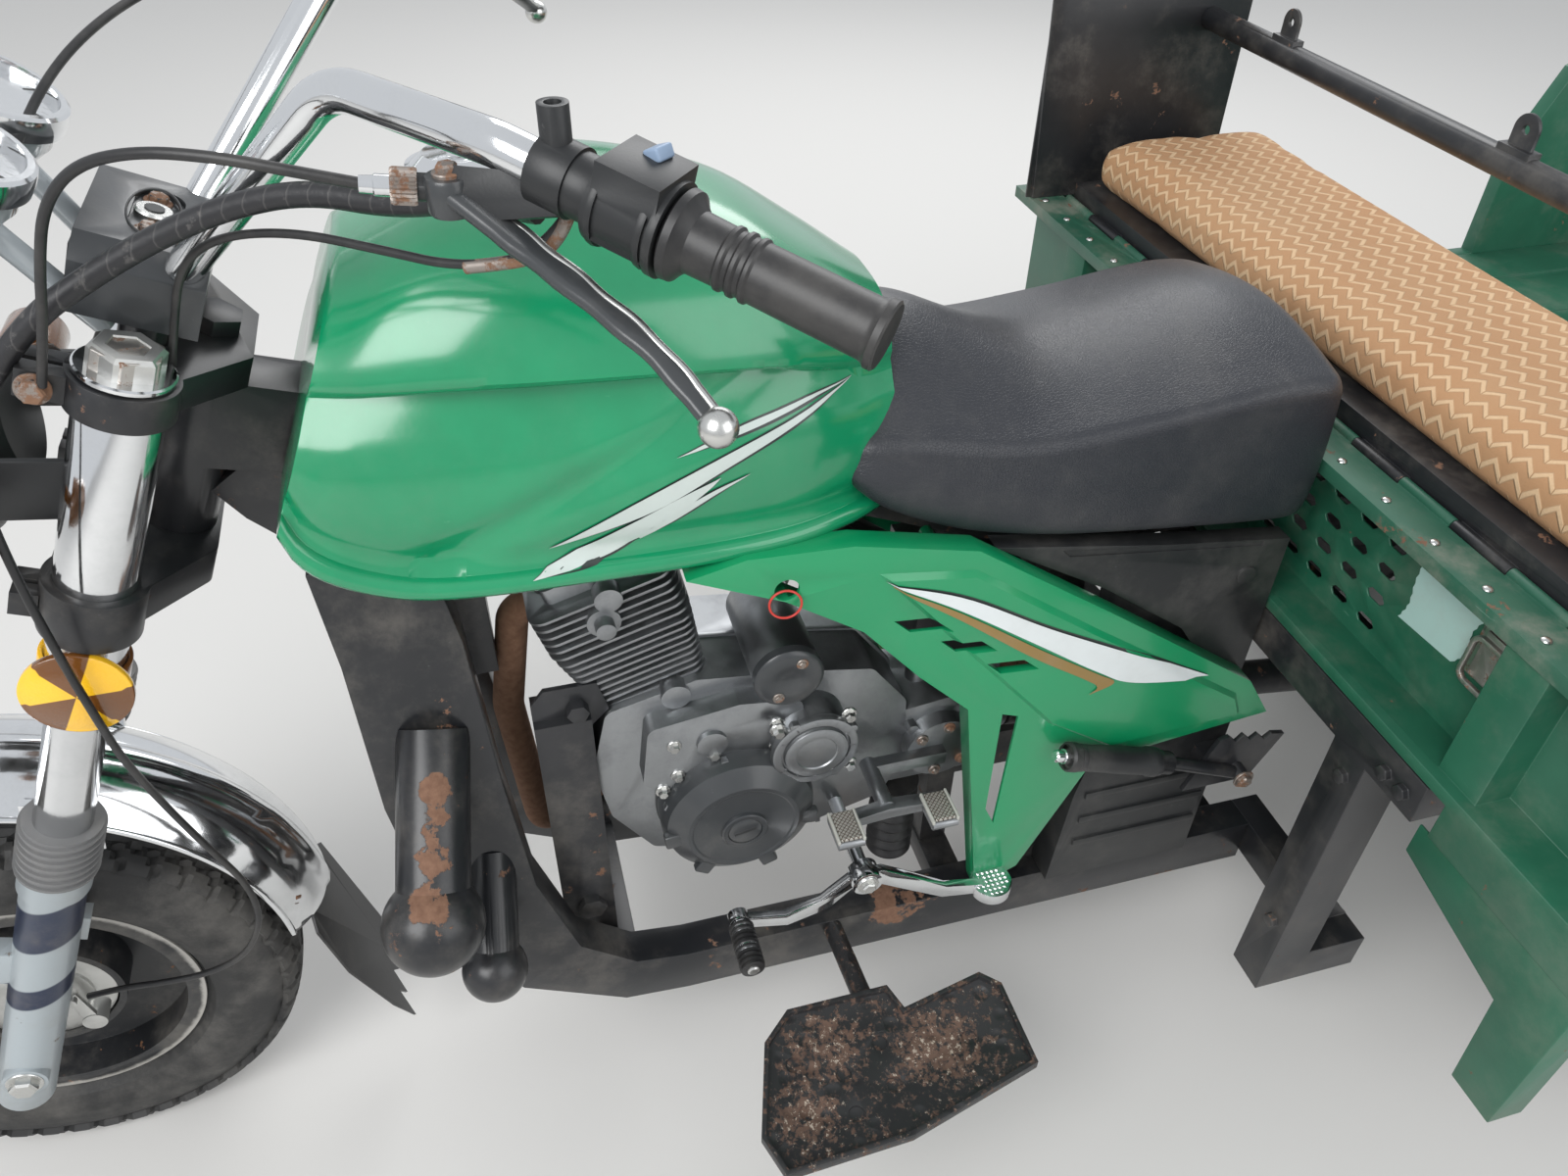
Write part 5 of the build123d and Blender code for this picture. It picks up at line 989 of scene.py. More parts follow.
# %% Run the cables
CABLES = {
    # radius, finish and route in millimetres
    "clutch_cable": (3.5, "rubber", [
        (250, 550, 1240), (246, 510, 1250), (236, 470, 1258), (216, 425, 1258), (190, 385, 1244),
        (168, 355, 1214), (150, 335, 1172), (138, 318, 1124), (132, 300, 1078),
    ]),
    "switch_loom": (8.4, "loom", [
        (262, 640, 1222), (226, 604, 1218), (190, 556, 1204), (158, 506, 1206), (136, 454, 1193),
        (123, 402, 1172), (118, 350, 1146), (117, 300, 1117), (112, 262, 1076),
    ]),
    "choke_cable": (3.0, "rubber", [
        (290, 656, 1232), (276, 638, 1200), (246, 590, 1184), (208, 544, 1184), (164, 490, 1183),
        (125, 438, 1169), (101, 404, 1142), (85, 383, 1090), (77, 366, 1040),
    ]),
    "brake_cable": (3.5, "rubber", [
        (-268, 546, 1240), (-262, 500, 1250), (-238, 446, 1258), (-190, 396, 1256),
        (-128, 352, 1244), (-66, 318, 1222), (4, 294, 1186), (70, 268, 1140), (122, 246, 1080),
        (152, 240, 1010), (161, 240, 940), (163, 242, 870), (160, 244, 800), (142, 240, 728),
        (114, 236, 660), (97, 240, 594), (92, 254, 530), (92, 272, 470), (94, 272, 410),
        (96, 244, 356), (88, 196, 326), (74, 144, 308), (60, 94, 296), (57, 56, 290),
    ]),
}


def run_cable(name, radius, finish, route):
    data = bpy.data.curves.new(name, "CURVE")
    data.dimensions = "3D"
    data.bevel_depth = radius / 1000.0
    data.bevel_resolution = 4
    data.resolution_u = 8
    spline = data.splines.new("NURBS")
    spline.points.add(len(route) - 1)
    for point, spot in zip(spline.points, route):
        point.co = (*place(*spot), 1.0)
    spline.order_u = 3
    spline.use_endpoint_u = True
    data.use_fill_caps = True
    piece = bpy.data.objects.new(name, data)
    bpy.context.scene.collection.objects.link(piece)
    pick(piece)
    bpy.ops.object.convert(target="MESH")
    piece = bpy.context.object
    settle(piece, "control_cables", finish, 50.0)
    return piece


for name, row in CABLES.items():
    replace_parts(run_cable(name, *row), "control_cables")
print("cables", len(CABLES))

# %% [markdown]
# The bench's pad is foam under a woven cover. A low slab is rounded, remeshed and blown
# up a little by a cloth simulation with inner pressure, so that its top crowns and its
# sides swell between the corners; then it is smoothed once.

# %% Stuff the bench cushion
ROOM_TO_SWELL = (0.016, 0.016, 0.008)
SLAB_ROUND = 0.018
SWELL_LIMIT = 0.012
CROWN = 0.006
VOXEL = 0.009
SIMULATED_FRAMES, PRESSURE, STIFFNESS = 14, 4.0, 25.0


def inflate(piece):
    """Lets inner pressure act on a piece for a few frames of a cloth simulation."""
    cloth = piece.modifiers.new("cloth", "CLOTH")
    cloth.settings.use_pressure = True
    cloth.settings.uniform_pressure_force = PRESSURE
    cloth.settings.effector_weights.gravity = 0.0
    cloth.settings.tension_stiffness = STIFFNESS
    for number in range(1, SIMULATED_FRAMES + 1):
        bpy.context.scene.frame_set(number)
    pick(piece)
    bpy.ops.object.modifier_apply(modifier=cloth.name)
    bpy.context.scene.frame_set(1)


def stuff_cushion():
    low, high = [Vector(corner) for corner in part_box("bench_cushion")]
    middle = (low + high) / 2.0
    size = high - low
    piece = new_piece("bench_pad", bpy.ops.mesh.primitive_cube_add, size=1.0, location=middle)
    piece.scale = size - Vector(ROOM_TO_SWELL)
    bpy.ops.object.transform_apply(location=True, rotation=False, scale=True)
    modify(piece, "BEVEL", width=SLAB_ROUND, segments=4, limit_method="ANGLE")
    modify(piece, "REMESH", mode="VOXEL", voxel_size=VOXEL)
    start = [corner.co.copy() for corner in piece.data.vertices]
    inflate(piece)
    floor = low.z + 0.0005
    for corner, old in zip(piece.data.vertices, start):
        moved = corner.co - old
        if moved.length > SWELL_LIMIT:
            corner.co = old + moved.normalized() * SWELL_LIMIT
        if old.z > middle.z:
            edge = min(1.0, abs(old.y - middle.y) / (size.y / 2))
            corner.co.z += CROWN * (1.0 - edge ** 3)
        corner.co.z = max(corner.co.z, floor)
    modify(piece, "SUBSURF", levels=1, render_levels=1)
    return piece


cushion = stuff_cushion()
settle(cushion, "bench_cushion", "cushion_cloth", 80.0)
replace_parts(cushion, "bench_cushion")
print("cushion", len(cushion.data.polygons), "faces")

# %% [markdown]
# Small fittings repeat three ways of making: a hexagon head or a sleeve is turned, a
# strap or a housing is a bevelled box, and a lever is an oval section swept along a
# smooth line. Places on the fork are given along its own raked axis.

# %% Make the fitting tools
FORK_RAKE = math.radians(23.5)
OUT = Vector((0.001, 0.0, 0.0))     # one millimetre to the left
OVAL_STEPS = 16


def on_fork(x, offset, along):
    """A point given across, behind and along the fork, in millimetres from its axle."""
    distance = offset * math.cos(FORK_RAKE) + along * math.sin(FORK_RAKE)
    return place(x, distance, 272.0 + along * math.cos(FORK_RAKE) - offset * math.sin(FORK_RAKE))


UP_FORK = (on_fork(0.0, 0.0, 100.0) - on_fork(0.0, 0.0, 0.0)).normalized()


def capped(radius, top, share=0.7):
    """The profile of a plain round head whose edge is broken near its top."""
    return [(0.0, radius), (share, radius), (1.0, top)]


def bolt(name, node, seat, rise, radius, washer, finish="bright_bolt"):
    """A hexagonal head that rises from its seat, on a washer."""
    sleeve(name, node, seat, rise, capped(radius, radius * 0.84, 0.8), finish, 6, 0.0, 15.0)
    thick = rise.normalized() * 0.0025
    sleeve(name + "_washer", node, seat, thick, capped(washer, washer - 0.6), finish)


def housing(name, node, centre, size, finish, turn=(0.0, 0.0, 0.0), bevel=0.002):
    """A bevelled box; its size is in metres and its turn in degrees."""
    piece = new_piece(
        name, bpy.ops.mesh.primitive_cube_add, size=1.0, location=centre,
        rotation=[math.radians(angle) for angle in turn],
    )
    piece.scale = size
    bpy.ops.object.transform_apply(location=True, rotation=True, scale=True)
    modify(piece, "BEVEL", width=bevel, segments=3, limit_method="ANGLE")
    settle(piece, node, finish)


def smooth_line(points, share):
    """A point of the smooth curve through a short list of points of any size."""
    last = len(points) - 1
    return [
        blend_values([(number / last, value) for number, value in enumerate(values)], share)
        for values in zip(*points)
    ]


def swept(name, route, section, steps=36):
    """An oval section along a line; section(share) gives width, height and lift in mm."""
    spots = [place(*smooth_line(route, step / steps)) for step in range(steps + 1)]
    rings = []
    for step, spot in enumerate(spots):
        ahead = spots[min(steps, step + 1)] - spots[max(0, step - 1)]
        side = ahead.cross(UP).normalized()
        top = side.cross(ahead).normalized()
        width, height, lift = section(step / steps)
        ring = []
        for number in range(OVAL_STEPS):
            turn = 2.0 * math.pi * number / OVAL_STEPS
            across, rise = [
                math.copysign(abs(value) ** 0.7, value) * size / 2000.0
                for value, size in ((math.cos(turn), width), (math.sin(turn), height))
            ]
            ring.append(spot + side * (across + lift / 1000.0) + top * rise)
        rings.append(ring)
    return skin(name, rings)


print("fitting tools ready")

# %% [markdown]
# The hand levers are cast bars with a wavy inner edge that hands have polished bright,
# and a ball at the tip. The dark bar is one sweep, the bright edge a thinner sweep on
# its side, and each ball is turned from a half circle. The clutch and brake cables
# leave by a knurled adjuster and a bright ferrule.

# %% Cast the hand levers
LEVER_ROUTE = [
    (252, 588, 1238), (264, 598, 1234), (300, 628, 1216), (345, 657, 1203), (388, 686, 1186),
    (424, 710, 1160),
]
LEVER_BALL = 11.5
EDGE_START, EDGE_RISE = 0.25, 3.4
WAVES, WAVE_HEIGHT, WAVE_FROM, WAVE_TO = 38.0, 1.4, 0.35, 0.92
ROOT = [(0.0, 13.0), (0.08, 14.0), (0.92, 14.0), (1.0, 13.0)]
ADJUSTER = [(0.0, 10.2), (0.1, 10.8), (0.9, 10.8), (1.0, 10.0)]
FERRULE = [(0.0, 6.4), (0.5, 6.4), (0.55, 5.4), (1.0, 5.0)]


def lever_bar(share):
    wave = WAVE_HEIGHT * math.sin(share * WAVES) if WAVE_FROM < share < WAVE_TO else 0.0
    return 23.0 - 10.0 * share + wave, 12.0 - 4.0 * share, 0.0


def ball(radius):
    """The profile of a ball for turning: the share of its width and its radius there."""
    angles = [math.pi * step / 16 for step in range(1, 16)]
    return [((1.0 - math.cos(angle)) / 2.0, radius * math.sin(angle)) for angle in angles]


def cast_lever(side, word):
    route = [(x * side, distance, z) for x, distance, z in LEVER_ROUTE]
    lever = swept("lever_" + word, route, lever_bar)
    settle(lever, "hand_levers", "cover_paint", 50.0)
    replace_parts(lever, "hand_levers")

    def bright_edge(share):
        width = lever_bar(EDGE_START + (1.0 - EDGE_START) * share)[0]
        return 5.0, 4.6, -side * (width / 2 - 2.6)

    edge_route = []
    for step in range(7):
        x, distance, z = smooth_line(route, EDGE_START + (1.0 - EDGE_START) * step / 6)
        edge_route.append((x, distance, z + EDGE_RISE))
    edge = swept("lever_edge_" + word, edge_route, bright_edge, 60)
    settle(edge, "hand_levers", "bright_bolt", 50.0)
    tip = place(*route[-1])
    along = (tip - place(*route[-2])).normalized() * LEVER_BALL / 1000.0
    sleeve(
        "lever_ball_" + word, "hand_levers", tip - along, along * 2.0, ball(LEVER_BALL),
        "bright_bolt", 32,
    )


def fit_perch(side, word):
    """The lever's pivot and root, and the cable's adjuster and ferrule."""
    pivot, rise = place(256 * side, 592, 1234), UP * 0.001
    bolt("lever_pivot_" + word, "switches", pivot + rise * 11, rise * 7, 6.5, 9.0, "rusty_bolt")
    sleeve("lever_root_" + word, "hand_levers", pivot - rise * 11, rise * 22, ROOT, "cover_paint")
    away = Vector((-0.05 * side, -1.0, 0.12)).normalized() * 0.001
    neck = pivot + bar_end(side)[1] * 0.008
    sleeve(
        "adjuster_" + word, "switches", neck + away * 12, away * 15, ADJUSTER, "rusty_bolt",
        48, 1.2, 15.0,
    )
    sleeve("ferrule_" + word, "switches", neck + away * 27, away * 17, FERRULE, "chrome", 24)


for side, word in SIDES:
    cast_lever(side, word)
    fit_perch(side, word)
print("levers cast")

# %% [markdown]
# On the bar: a pale blue rocker and a horn button on the switch housing, seams round it,
# and the rusty elbow in which the choke cable starts.

# %% Fit the switches and the elbow
SEAM = [(0.0, 26.4), (0.5, 27.0), (1.0, 26.4)]
SEAM_REACHES = (0.0075, 0.0385)
HOUSING_START, HOUSING_MIDDLE = 0.1253, 0.023
ELBOW = [(290, 656, 1232), (287, 652, 1219), (276, 638, 1200), (262, 616, 1191), (248, 594, 1185)]


def fit_switches(side, word):
    end, inward = bar_end(side)
    over = (UP - inward * inward.z).normalized()
    start = end + inward * HOUSING_START
    facing = inward.cross(over) * side
    middle = start + inward * HOUSING_MIDDLE
    housing(
        "rocker_" + word, "switches", middle + over * 0.032 + facing * 0.012,
        (0.014, 0.011, 0.008), "blue_key", (20, 0, -50 * side), 0.0015,
    )
    for number, reach in enumerate(SEAM_REACHES):
        sleeve(
            "switch_ring_%s_%d" % (word, number), "switches", start + inward * reach,
            inward * 0.0045, SEAM, "black_plastic",
        )
    button = middle + facing * 0.027 - over * 0.004
    sleeve(
        "horn_button_" + word, "switches", button, facing * 0.006, capped(7.0, 5.8),
        "pale_key", 28,
    )


for side, word in SIDES:
    fit_switches(side, word)
run_cable("cable_elbow", 4.3, "rusty_bolt", ELBOW)
print("switches fitted")

# %% [markdown]
# The instruments are two chromed bezels over pale dials. Each dial has ticks round its
# edge and a red needle; a clear dome would only hide them at this distance.

# %% Fit the instruments
DIAL_UP = Vector((0.0, 0.52, 0.85)).normalized()
GAUGE_X = round((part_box("gauges")[1][0] - 0.057) * 1000.0)
BEZEL = [
    (0.0, 52.5), (0.05, 57.5), (0.55, 58.5), (0.9, 57.5), (1.0, 55.0), (1.0, 50.5),
    (0.72, 49.5), (0.62, 49.5),
]
TICKS, FIRST_TICK, TICK_TURN = 21, -130, 13
TICK_END, NEEDLE_TURN = 0.046, 2.2


def fit_dial(side, word):
    base = place(GAUGE_X * side, 262, 1200)
    east = DIAL_UP.orthogonal().normalized()
    north = DIAL_UP.cross(east)

    def layer(name, height, rise, profile, finish, segments):
        start = base + DIAL_UP * height
        sleeve(name + word, "gauges", start, DIAL_UP * rise, profile, finish, segments)

    layer("bezel_", 0.012, 0.020, BEZEL, "chrome", 64)
    layer("dial_", 0.020, 0.0035, [(0.0, 50.0), (1.0, 50.0)], "dial", 64)
    for tick in range(TICKS):
        turn = math.radians(FIRST_TICK + TICK_TURN * tick)
        out = east * math.sin(turn) + north * math.cos(turn)
        wide, inner = (0.9, 0.040) if tick % 5 else (1.6, 0.036)
        spot = base + DIAL_UP * 0.0236 + out * inner
        sleeve(
            "tick_%s_%02d" % (word, tick), "gauges", spot, out * (TICK_END - inner),
            [(0.0, wide), (1.0, wide)], "black_plastic", 6,
        )
    needle = east * math.sin(NEEDLE_TURN) + north * math.cos(NEEDLE_TURN)
    sleeve(
        "needle_" + word, "gauges", base + DIAL_UP * 0.0255 - needle * 0.008, needle * 0.042,
        [(0.0, 1.6), (1.0, 0.5)], "red_lens", 8,
    )
    layer("needle_hub_", 0.0235, 0.0055, capped(6.0, 4.0), "black_plastic", 24)


for side, word in SIDES:
    fit_dial(side, word)
print("instruments fitted")

# %% [markdown]
# The bar's clamp cover is moulded plastic with an oval recess, a round lock and two
# rusty screws. The lock and the screws are turned, and the rim of the recess is a
# flattened torus.

# %% Fit the clamp cover's lock
RISER = 904.0
lock = on_fork(0.0, -2.0, RISER + 36)
sleeve("lock", "clamp_cover", lock, UP_FORK * 0.0095, capped(13.6, 12.2, 0.8), "bright_bolt")
sleeve(
    "lock_core", "clamp_cover", lock + UP_FORK * 0.009, UP_FORK * 0.0015,
    [(0.0, 7.0), (1.0, 7.0)], "black_plastic", 32,
)
for x in (-28.0, 28.0):
    seat = on_fork(x, -2.0, RISER + 38)
    bolt("cover_screw_%d" % x, "clamp_cover", seat, UP_FORK * 0.0075, 7.6, 10.5, "rusty_bolt")
recess_rim = new_piece(
    "recess_rim", bpy.ops.mesh.primitive_torus_add, major_radius=0.030, minor_radius=0.0016,
    major_segments=56, minor_segments=10,
)
for corner in recess_rim.data.vertices:
    x, y, z = corner.co * 1000.0
    corner.co = on_fork(x * 1.45, y * 0.6 - 2.0, RISER + 42.5 + z)
settle(recess_rim, "clamp_cover", "black_plastic", 50.0)
print("clamp cover fitted")

# %% [markdown]
# The fork: big pale hexagon caps on washers, rusty pinch bolts through the split
# clamps, a grey ribbed dust seal on each leg and the wheel's spindle nuts.

# %% Fit the fork's caps, seals and bolts
CAP_NUT = [(0.0, 26.6), (0.82, 26.6), (1.0, 23.0), (1.0, 15.0), (0.86, 14.0)]
# Places along the fork in millimetres from the axle.
CAP_ALONG, CLAMP_ALONG, SEAL_LOW, SEAL_HIGH = 868.0, 852.0, 323.0, 388.5
LEG_X = 105.0
SEAL_RIBS = [(0.0, 35.5), (0.07, 36.5), (0.075, 33.6), (0.135, 33.6)]
DUST_SEAL = [(step / 7.0 + share, radius) for step in range(7) for share, radius in SEAL_RIBS]


def fit_fork(side, word):
    x, across = LEG_X * side, Vector((side, 0.0, 0.0))
    top, washer = on_fork(x, 0.0, CAP_ALONG), UP_FORK * 0.004
    sleeve("cap_washer_" + word, "fork_hardware", top, washer, capped(34.5, 33.0), "chrome", 48)
    sleeve(
        "cap_nut_" + word, "fork_hardware", top + washer, UP_FORK * 0.0175, CAP_NUT,
        "pale_alloy", 6, 0.0, 15.0,
    )
    for number, turn in enumerate((-1.0, 1.0)):
        seat = on_fork(x + side * turn * 18.0, -52.0, CLAMP_ALONG) + across * turn * 0.004
        bolt(
            "pinch_bolt_%s_%d" % (word, number), "fork_hardware", seat,
            across * turn * 0.009, 9.6, 12.0, "rusty_bolt",
        )
    low, high = on_fork(x, 0.0, SEAL_LOW), on_fork(x, 0.0, SEAL_HIGH)
    sleeve(
        "dust_seal_" + word, "fork_legs", low, high - low, DUST_SEAL + [(1.0, 34.0)],
        "grey_seal", 48,
    )
    axle = place(136.0 * side, 0.0, 272.0)
    bolt("spindle_nut_" + word, "fork_hardware", axle, across * 0.012, 14.0, 18.0)


for side, word in SIDES:
    fit_fork(side, word)
print("fork fitted")

# %% [markdown]
# Foils on the tank and the covers are thin sheets: a strip between two smooth lines is
# placed beside the panel and a shrinkwrap modifier presses it on. The light sheet lies
# over a slightly larger dark one, which gives the edge line.

# %% Lay the foils
COVERS = dress("side_covers", "green_plastic")
FOIL_STEPS, FOIL_COLUMNS = 30, 4
BESIDE = 240.0
EDGE_LIFT, GOLD_LIFT, FLASH_LIFT, SWOOSH_LIFT = 0.0006, 0.0014, 0.0017, 0.0022
TANK_FLASHES = [
    # upper line and lower line, as (distance, height)
    ([(897, 994), (850, 993), (790, 984), (734, 965)],
     [(897, 994), (850, 990), (790, 978), (734, 965)]),
    ([(897, 994), (840, 982), (775, 962), (700, 930), (623, 890)],
     [(897, 994), (842, 977), (780, 952), (708, 916), (623, 890)]),
    ([(770, 942), (735, 928), (690, 906), (655, 888), (606, 866)],
     [(762, 934), (742, 918), (706, 892), (664, 873), (606, 866)]),
    ([(796, 941), (762, 929), (728, 911), (697, 890)],
     [(796, 941), (764, 925), (730, 904), (700, 886)]),
]
SWOOSH = (
    [(922, 806), (1005, 772), (1105, 710), (1215, 648), (1322, 587)],
    [(922, 806), (1000, 758), (1092, 692), (1172, 634), (1222, 606), (1322, 587)],
)
SWOOSH_EDGE = (
    [(930, 799), (1004, 752), (1096, 684), (1170, 632), (1196, 612), (1168, 600)],
    [(930, 797), (1000, 746), (1090, 674), (1158, 626), (1176, 610), (1168, 600)],
)


def foil(name, node, finish, upper, lower, side, lift):
    rings = []
    for step in range(FOIL_STEPS + 1):
        first = Vector(smooth_line(upper, step / FOIL_STEPS))
        last = Vector(smooth_line(lower, step / FOIL_STEPS))
        spots = [first.lerp(last, column / FOIL_COLUMNS) for column in range(FOIL_COLUMNS + 1)]
        rings.append([place(side * BESIDE, *spot) for spot in spots])
    piece = skin(name, rings, closed=False, caps=False)
    face_along(piece, OUT * side)
    modify(
        piece, "SHRINKWRAP", target=tank if node == "fuel_tank" else COVERS,
        wrap_method="PROJECT", use_project_x=True, use_negative_direction=side > 0,
        use_positive_direction=side < 0, offset=lift,
    )
    settle(piece, node, finish, 60.0)


def widened(line, rise):
    """The line with its middle points moved up by some millimetres, its ends kept."""
    return [line[0], *[(distance, z + rise) for distance, z in line[1:-1]], line[-1]]


for side, word in SIDES:
    for number, (upper, lower) in enumerate(TANK_FLASHES):
        name = "%s_%d" % (word, number)
        edges = widened(upper, 1.0), widened(lower, -2.8)
        foil("flash_edge_" + name, "fuel_tank", "dark_foil", *edges, side, EDGE_LIFT)
        foil("flash_" + name, "fuel_tank", "silver_foil", upper, lower, side, FLASH_LIFT)
    for name, finish, lines, lift in (
        ("swoosh_line_", "dark_foil", (widened(SWOOSH[0], 3.0), SWOOSH[1]), EDGE_LIFT),
        ("swoosh_edge_", "gold_foil", SWOOSH_EDGE, GOLD_LIFT),
        ("swoosh_", "white_foil", SWOOSH, SWOOSH_LIFT),
    ):
        foil(name + word, "side_covers", finish, *lines, side, lift)
print("foils laid")

# %% [markdown]
# What sticks out to the left is turned round the x axis: the engine's covers, the toe
# peg's rubber and the screws round the covers. Each row of a table is one such piece.
# Ribs round the sprocket's cover and facets on the magneto's are small boxes.

# %% Fit the engine's covers
MAGNETO, SPROCKET, STARTER = (795.0, 440.0), (880.0, 530.0), (850.0, 640.0)
MAGNETO_SHELL = [
    (0.0, 89.0), (0.05, 90.5), (0.10, 90.5), (0.12, 89.2), (0.50, 89.2), (0.56, 88.0),
    (0.66, 86.0), (0.70, 85.0), (0.90, 66.0), (0.915, 64.5), (0.915, 60.0), (0.90, 58.0),
    (0.90, 40.0), (0.93, 27.0), (0.985, 26.5), (1.0, 25.0), (1.0, 20.0), (0.97, 19.4),
]
SPROCKET_RIM = [(0.0, 50.0), (0.3, 50.6), (0.9, 49.0), (1.0, 47.0), (1.0, 40.0), (0.5, 38.5)]
SPROCKET_FACE = [(0.0, 37.0), (0.6, 37.0), (0.9, 34.5), (1.0, 31.0), (1.0, 24.0), (0.8, 22.0)]
STARTER_CAP = [(0.0, 38.0), (0.7, 38.0), (0.9, 35.5), (1.0, 31.0), (1.0, 12.0), (0.92, 10.0)]
RUBBER_RIBS = [(0.03, 14.5), (0.08, 14.5), (0.085, 11.5), (0.125, 11.5)]
TOE_RUBBER = [
    (0.0, 11.0),
    *[(step * 0.105 + share, radius) for step in range(9) for share, radius in RUBBER_RIBS],
    (0.985, 13.5), (1.0, 12.0),
]
TURNED = [
    # name, node, x and centre of the foot, length, profile, finish, segments, knurl, smooth
    ("magneto_cover", "engine_case", 70, MAGNETO, 68, MAGNETO_SHELL, "cover_paint", 96, 0.0, 24.0),
    ("magneto_plug", "engine_case", 135, MAGNETO, 3.2, capped(19.0, 17.6), "cover_paint", 48),
    ("sprocket_rim", "engine_case", 112, SPROCKET, 9, SPROCKET_RIM, "alloy", 72),
    ("sprocket_face", "engine_case", 112, SPROCKET, 12.5, SPROCKET_FACE, "alloy", 64),
    ("starter_cap", "engine_case", 100, STARTER, 14, STARTER_CAP, "cover_paint", 56),
    ("toe_rubber", "foot_levers", 193, (775, 344), 58, TOE_RUBBER, "rubber", 32),
    ("toe_end", "foot_levers", 250, (775, 344), 4, capped(7.0, 5.0, 0.6), "bright_bolt", 24),
]
SCREWS = [
    # name, node, x, centre, ring's radius, angles, screw's radius, its height, finish
    ("magneto_screw", "engine_case", 96, MAGNETO, 97, (20, 62, 105, 150), 6.0, 9.0, "bright_bolt"),
    ("sprocket_screw", "engine_case", 112, SPROCKET, 57, (48, 138, 228, 318), 6.4, 10.0,
     "bright_bolt"),
    ("case_screw", "engine_case", 96, (785.0, 535.0), 62, (160, 205, 25), 5.6, 8.0, "bright_bolt"),
    ("gear_screw", "gearbox", 90, (1048.0, 456.0), 35, (20, 80, 140, 200, 260, 320), 5.0, 6.0,
     "rusty_bolt"),
    ("starter_screw", "engine_case", 113, STARTER, 25, (60, 240), 4.0, 4.0, "rusty_bolt"),
]


def round_about(x, centre, reach, angle):
    """A point on a circle round an axis that runs across the machine."""
    turn = math.radians(angle)
    return place(x, centre[0] + reach * math.cos(turn), centre[1] + reach * math.sin(turn))


for name, node, x, centre, length, *rest in TURNED:
    sleeve(name, node, place(x, *centre), OUT * length, *rest)
for name, node, x, centre, reach, angles, radius, high, finish in SCREWS:
    for angle in angles:
        seat = round_about(x, centre, reach, angle)
        bolt("%s_%d" % (name, angle), node, seat, OUT * high, radius, radius + 2.5, finish)
slot = place(138, *MAGNETO)
housing(
    "plug_slot", "engine_case", slot, (0.0016, 0.026, 0.0045), "black_plastic", (12, 0, 0),
    0.0006,
)
for angle in (186, 236, 292, 350):
    housing(
        "magneto_facet_%d" % angle, "engine_case", round_about(121, MAGNETO, 75, angle),
        (0.012, 0.020, 0.030), "cover_paint", (angle - 90, 0, 0), 0.003,
    )
for step in range(12):
    housing(
        "sprocket_rib_%02d" % step, "engine_case", round_about(118, SPROCKET, 43, 30 * step),
        (0.006, 0.008, 0.0025), "alloy", (30 * step, 0, 0), 0.0005,
    )
print("engine fitted")

# %% [markdown]
# Pedals and levers: a knurled round pad on the heel-and-toe lever, two grooved pads
# with pale worn rims on the reverse lever, and the handbrake's grip with its button.

# %% Fit the pads and the grips
PAD, STUD_PITCH = place(185, 1092, 308), 0.0062
BRAKE_GRIP = [
    (0.0, 15.0), (0.02, 17.0), (0.09, 17.0), (0.11, 15.2), (0.30, 15.6), (0.60, 16.4),
    (0.88, 16.0), (0.90, 17.6), (0.98, 17.6), (1.0, 15.0),
]
BRAKE_BUTTON = [(0.0, 5.0), (0.1, 7.0), (0.7, 7.0), (0.72, 8.6), (1.0, 8.6)]


def stud_pad():
    """Square studs in rows over a round pad."""
    for row in range(-3, 4):
        for column in range(-3, 4):
            if row * row + column * column < 12:
                spot = PAD + Vector((row * STUD_PITCH, column * STUD_PITCH, 0.0004))
                housing(
                    "pad_stud_%d_%d" % (row + 3, column + 3), "foot_levers", spot,
                    (0.0042, 0.0042, 0.002), "chrome", (0, 0, 45), 0.0008,
                )


stud_pad()
for number, distance in enumerate((900.0, 1010.0)):
    centre = place(178, distance, 464.6)
    housing(
        "reverse_pad_%d" % number, "gearbox", centre, (0.040, 0.025, 0.005), "pad_tread",
        bevel=0.0022,
    )
    for edge in (1, -1):
        housing(
            "reverse_rim_%d_%d" % (number, edge), "gearbox",
            centre + Vector((0.0, edge * 0.0145, -0.001)), (0.044, 0.0035, 0.006), "pale_key",
            bevel=0.0014,
        )
front, rear = place(190, 1150, 520), place(190, 1290, 470)
along = (rear - front).normalized() * 0.001
sleeve("brake_grip", "handbrake", front, along * 128, BRAKE_GRIP, "black_plastic")
sleeve("brake_button", "handbrake", front - along * 16, along * 16, BRAKE_BUTTON, "chrome", 28)
bolt("shift_nut", "foot_levers", place(196, 925, 373), OUT * 8, 8.5, 13.0)
bolt("brake_pivot", "handbrake", place(202, 1396, 424), OUT * 8, 9.0, 13.0, "rusty_bolt")
print("pads and grips fitted")

# %% [markdown]
# Smaller things that the photograph shows: a red wire tied through the cover's hole,
# rusty bolts at the mudguard's end, rivets on the bench box and a torn pale patch
# beside the latch. Two black panels are painted shade that darkens the view through the covers.

# %% Add the ties, rivets and patches
TORN = [
    # left edge and right edge, as (x, height)
    [(259, 795), (259, 768), (263, 742), (258, 721)],
    [(345, 790), (339, 768), (344, 746), (333, 726)],
]
RIVET = [(0.0, 5.0), (0.5, 4.4), (1.0, 2.4)]


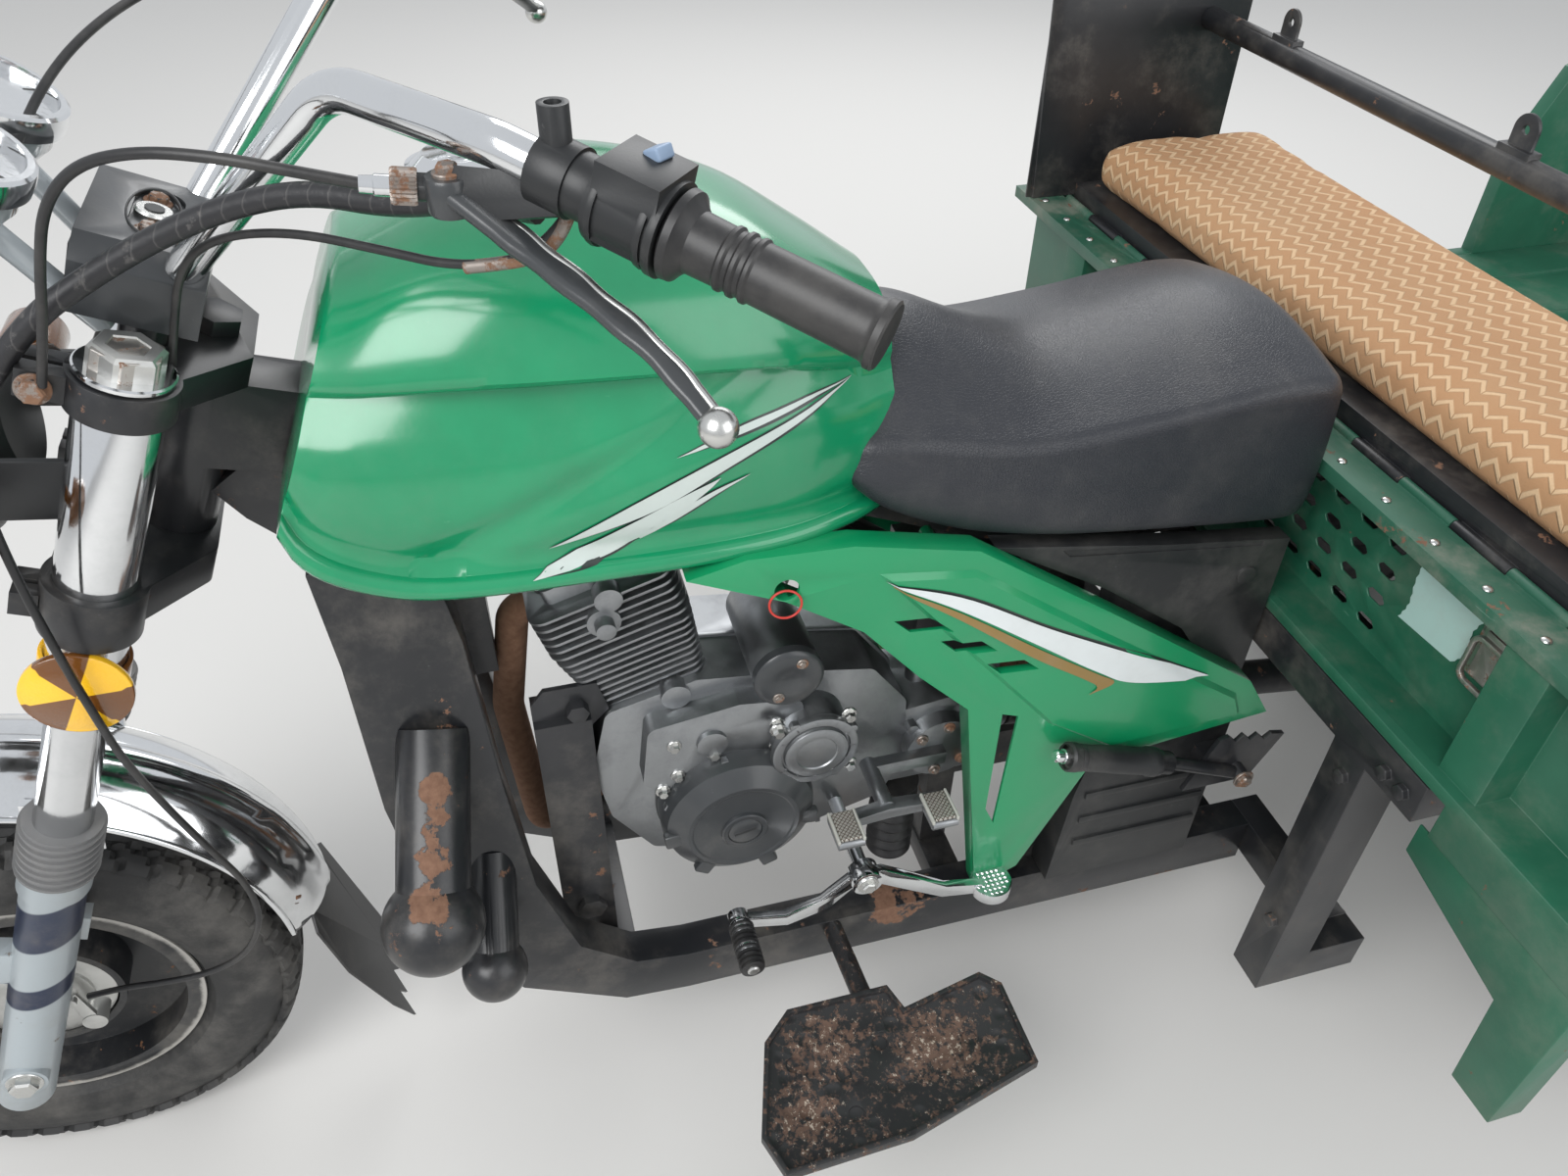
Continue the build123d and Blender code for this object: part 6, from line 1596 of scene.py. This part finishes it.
def tear_patch():
    """A thin sheet between two uneven edges, its rows shifted in turn."""
    rings = []
    for step in range(15):
        left, right = [Vector(smooth_line(edge, step / 14)) for edge in TORN]
        shift = 1.5 if step % 2 else 0.0
        spots = [left.lerp(right, column / 6) for column in range(7)]
        rings.append([place(x + shift, 1448.9, z) for x, z in spots])
    patch = skin("torn_patch", rings, closed=False, caps=False)
    face_along(patch, Vector((0.0, -1.0, 0.0)))
    settle(patch, "bed_front", "pale_sticker", 30.0)


tie = new_piece(
    "red_tie", bpy.ops.mesh.primitive_torus_add, location=place(173, 825, 800),
    rotation=(0.3, math.radians(84), 0.2), major_radius=0.015, minor_radius=0.0012,
    major_segments=40, minor_segments=8,
)
bpy.ops.object.transform_apply(location=True, rotation=True, scale=True)
settle(tie, "side_covers", "red_wire", 60.0)
for side, word in SIDES:
    for number, across in enumerate((26.0, 50.0)):
        seat = place(across * side, 297 - number * 3, 372 + number * 6)
        rise = Vector((0.0, 0.75, 0.66)) * 0.009
        name = "guard_bolt_%d_%d" % (side, number)
        bolt(name, "front_mudguard", seat, rise, 6.2, 9.0, "rusty_bolt")
    # Painted shade: a thin black panel behind each cover darkens the view through it.
    housing(
        "painted_shade_panel_" + word, "black_covers", place(118 * side, 1291, 612),
        (0.003, 0.196, 0.262), "black_plastic", bevel=0.0008,
    )
for x in range(-560, 561, 70):
    seat = place(x, 1425, 836.5)
    sleeve("rivet_%d" % (x + 560), "bench_box", seat, UP * 0.0022, RIVET, "bright_bolt", 16)
tear_patch()
print("ties and patches added")

# %% [markdown]
# What is left keeps its CAD shape and gets the finish of its slot, apart from the nodes
# whose paint, rust or bands differ.

# %% Dress every other node
MADE = {
    "fuel_tank", "saddle", "front_tyre", "rear_tyre_left", "rear_tyre_right", "grips",
    "control_cables", "bench_cushion", "side_covers", "hand_levers",
}
OWN_FINISH = {
    "crash_guards": "crash_paint", "main_frame": "frame_paint", "footplates": "peened",
    "fork_legs": "fork_leg", "bench_box": "worn_green", "front_rim": "rim",
    "front_brake_plate": "pale_alloy", "front_signals": "reflector",
    "clamp_cover": "cover_paint", "switches": "black_plastic",
}
for node in frame["nodes"]:
    if node not in MADE:
        dress(node, OWN_FINISH.get(node, SLOT_OF[node]))
print("dressed", len(frame["nodes"]) - len(MADE))
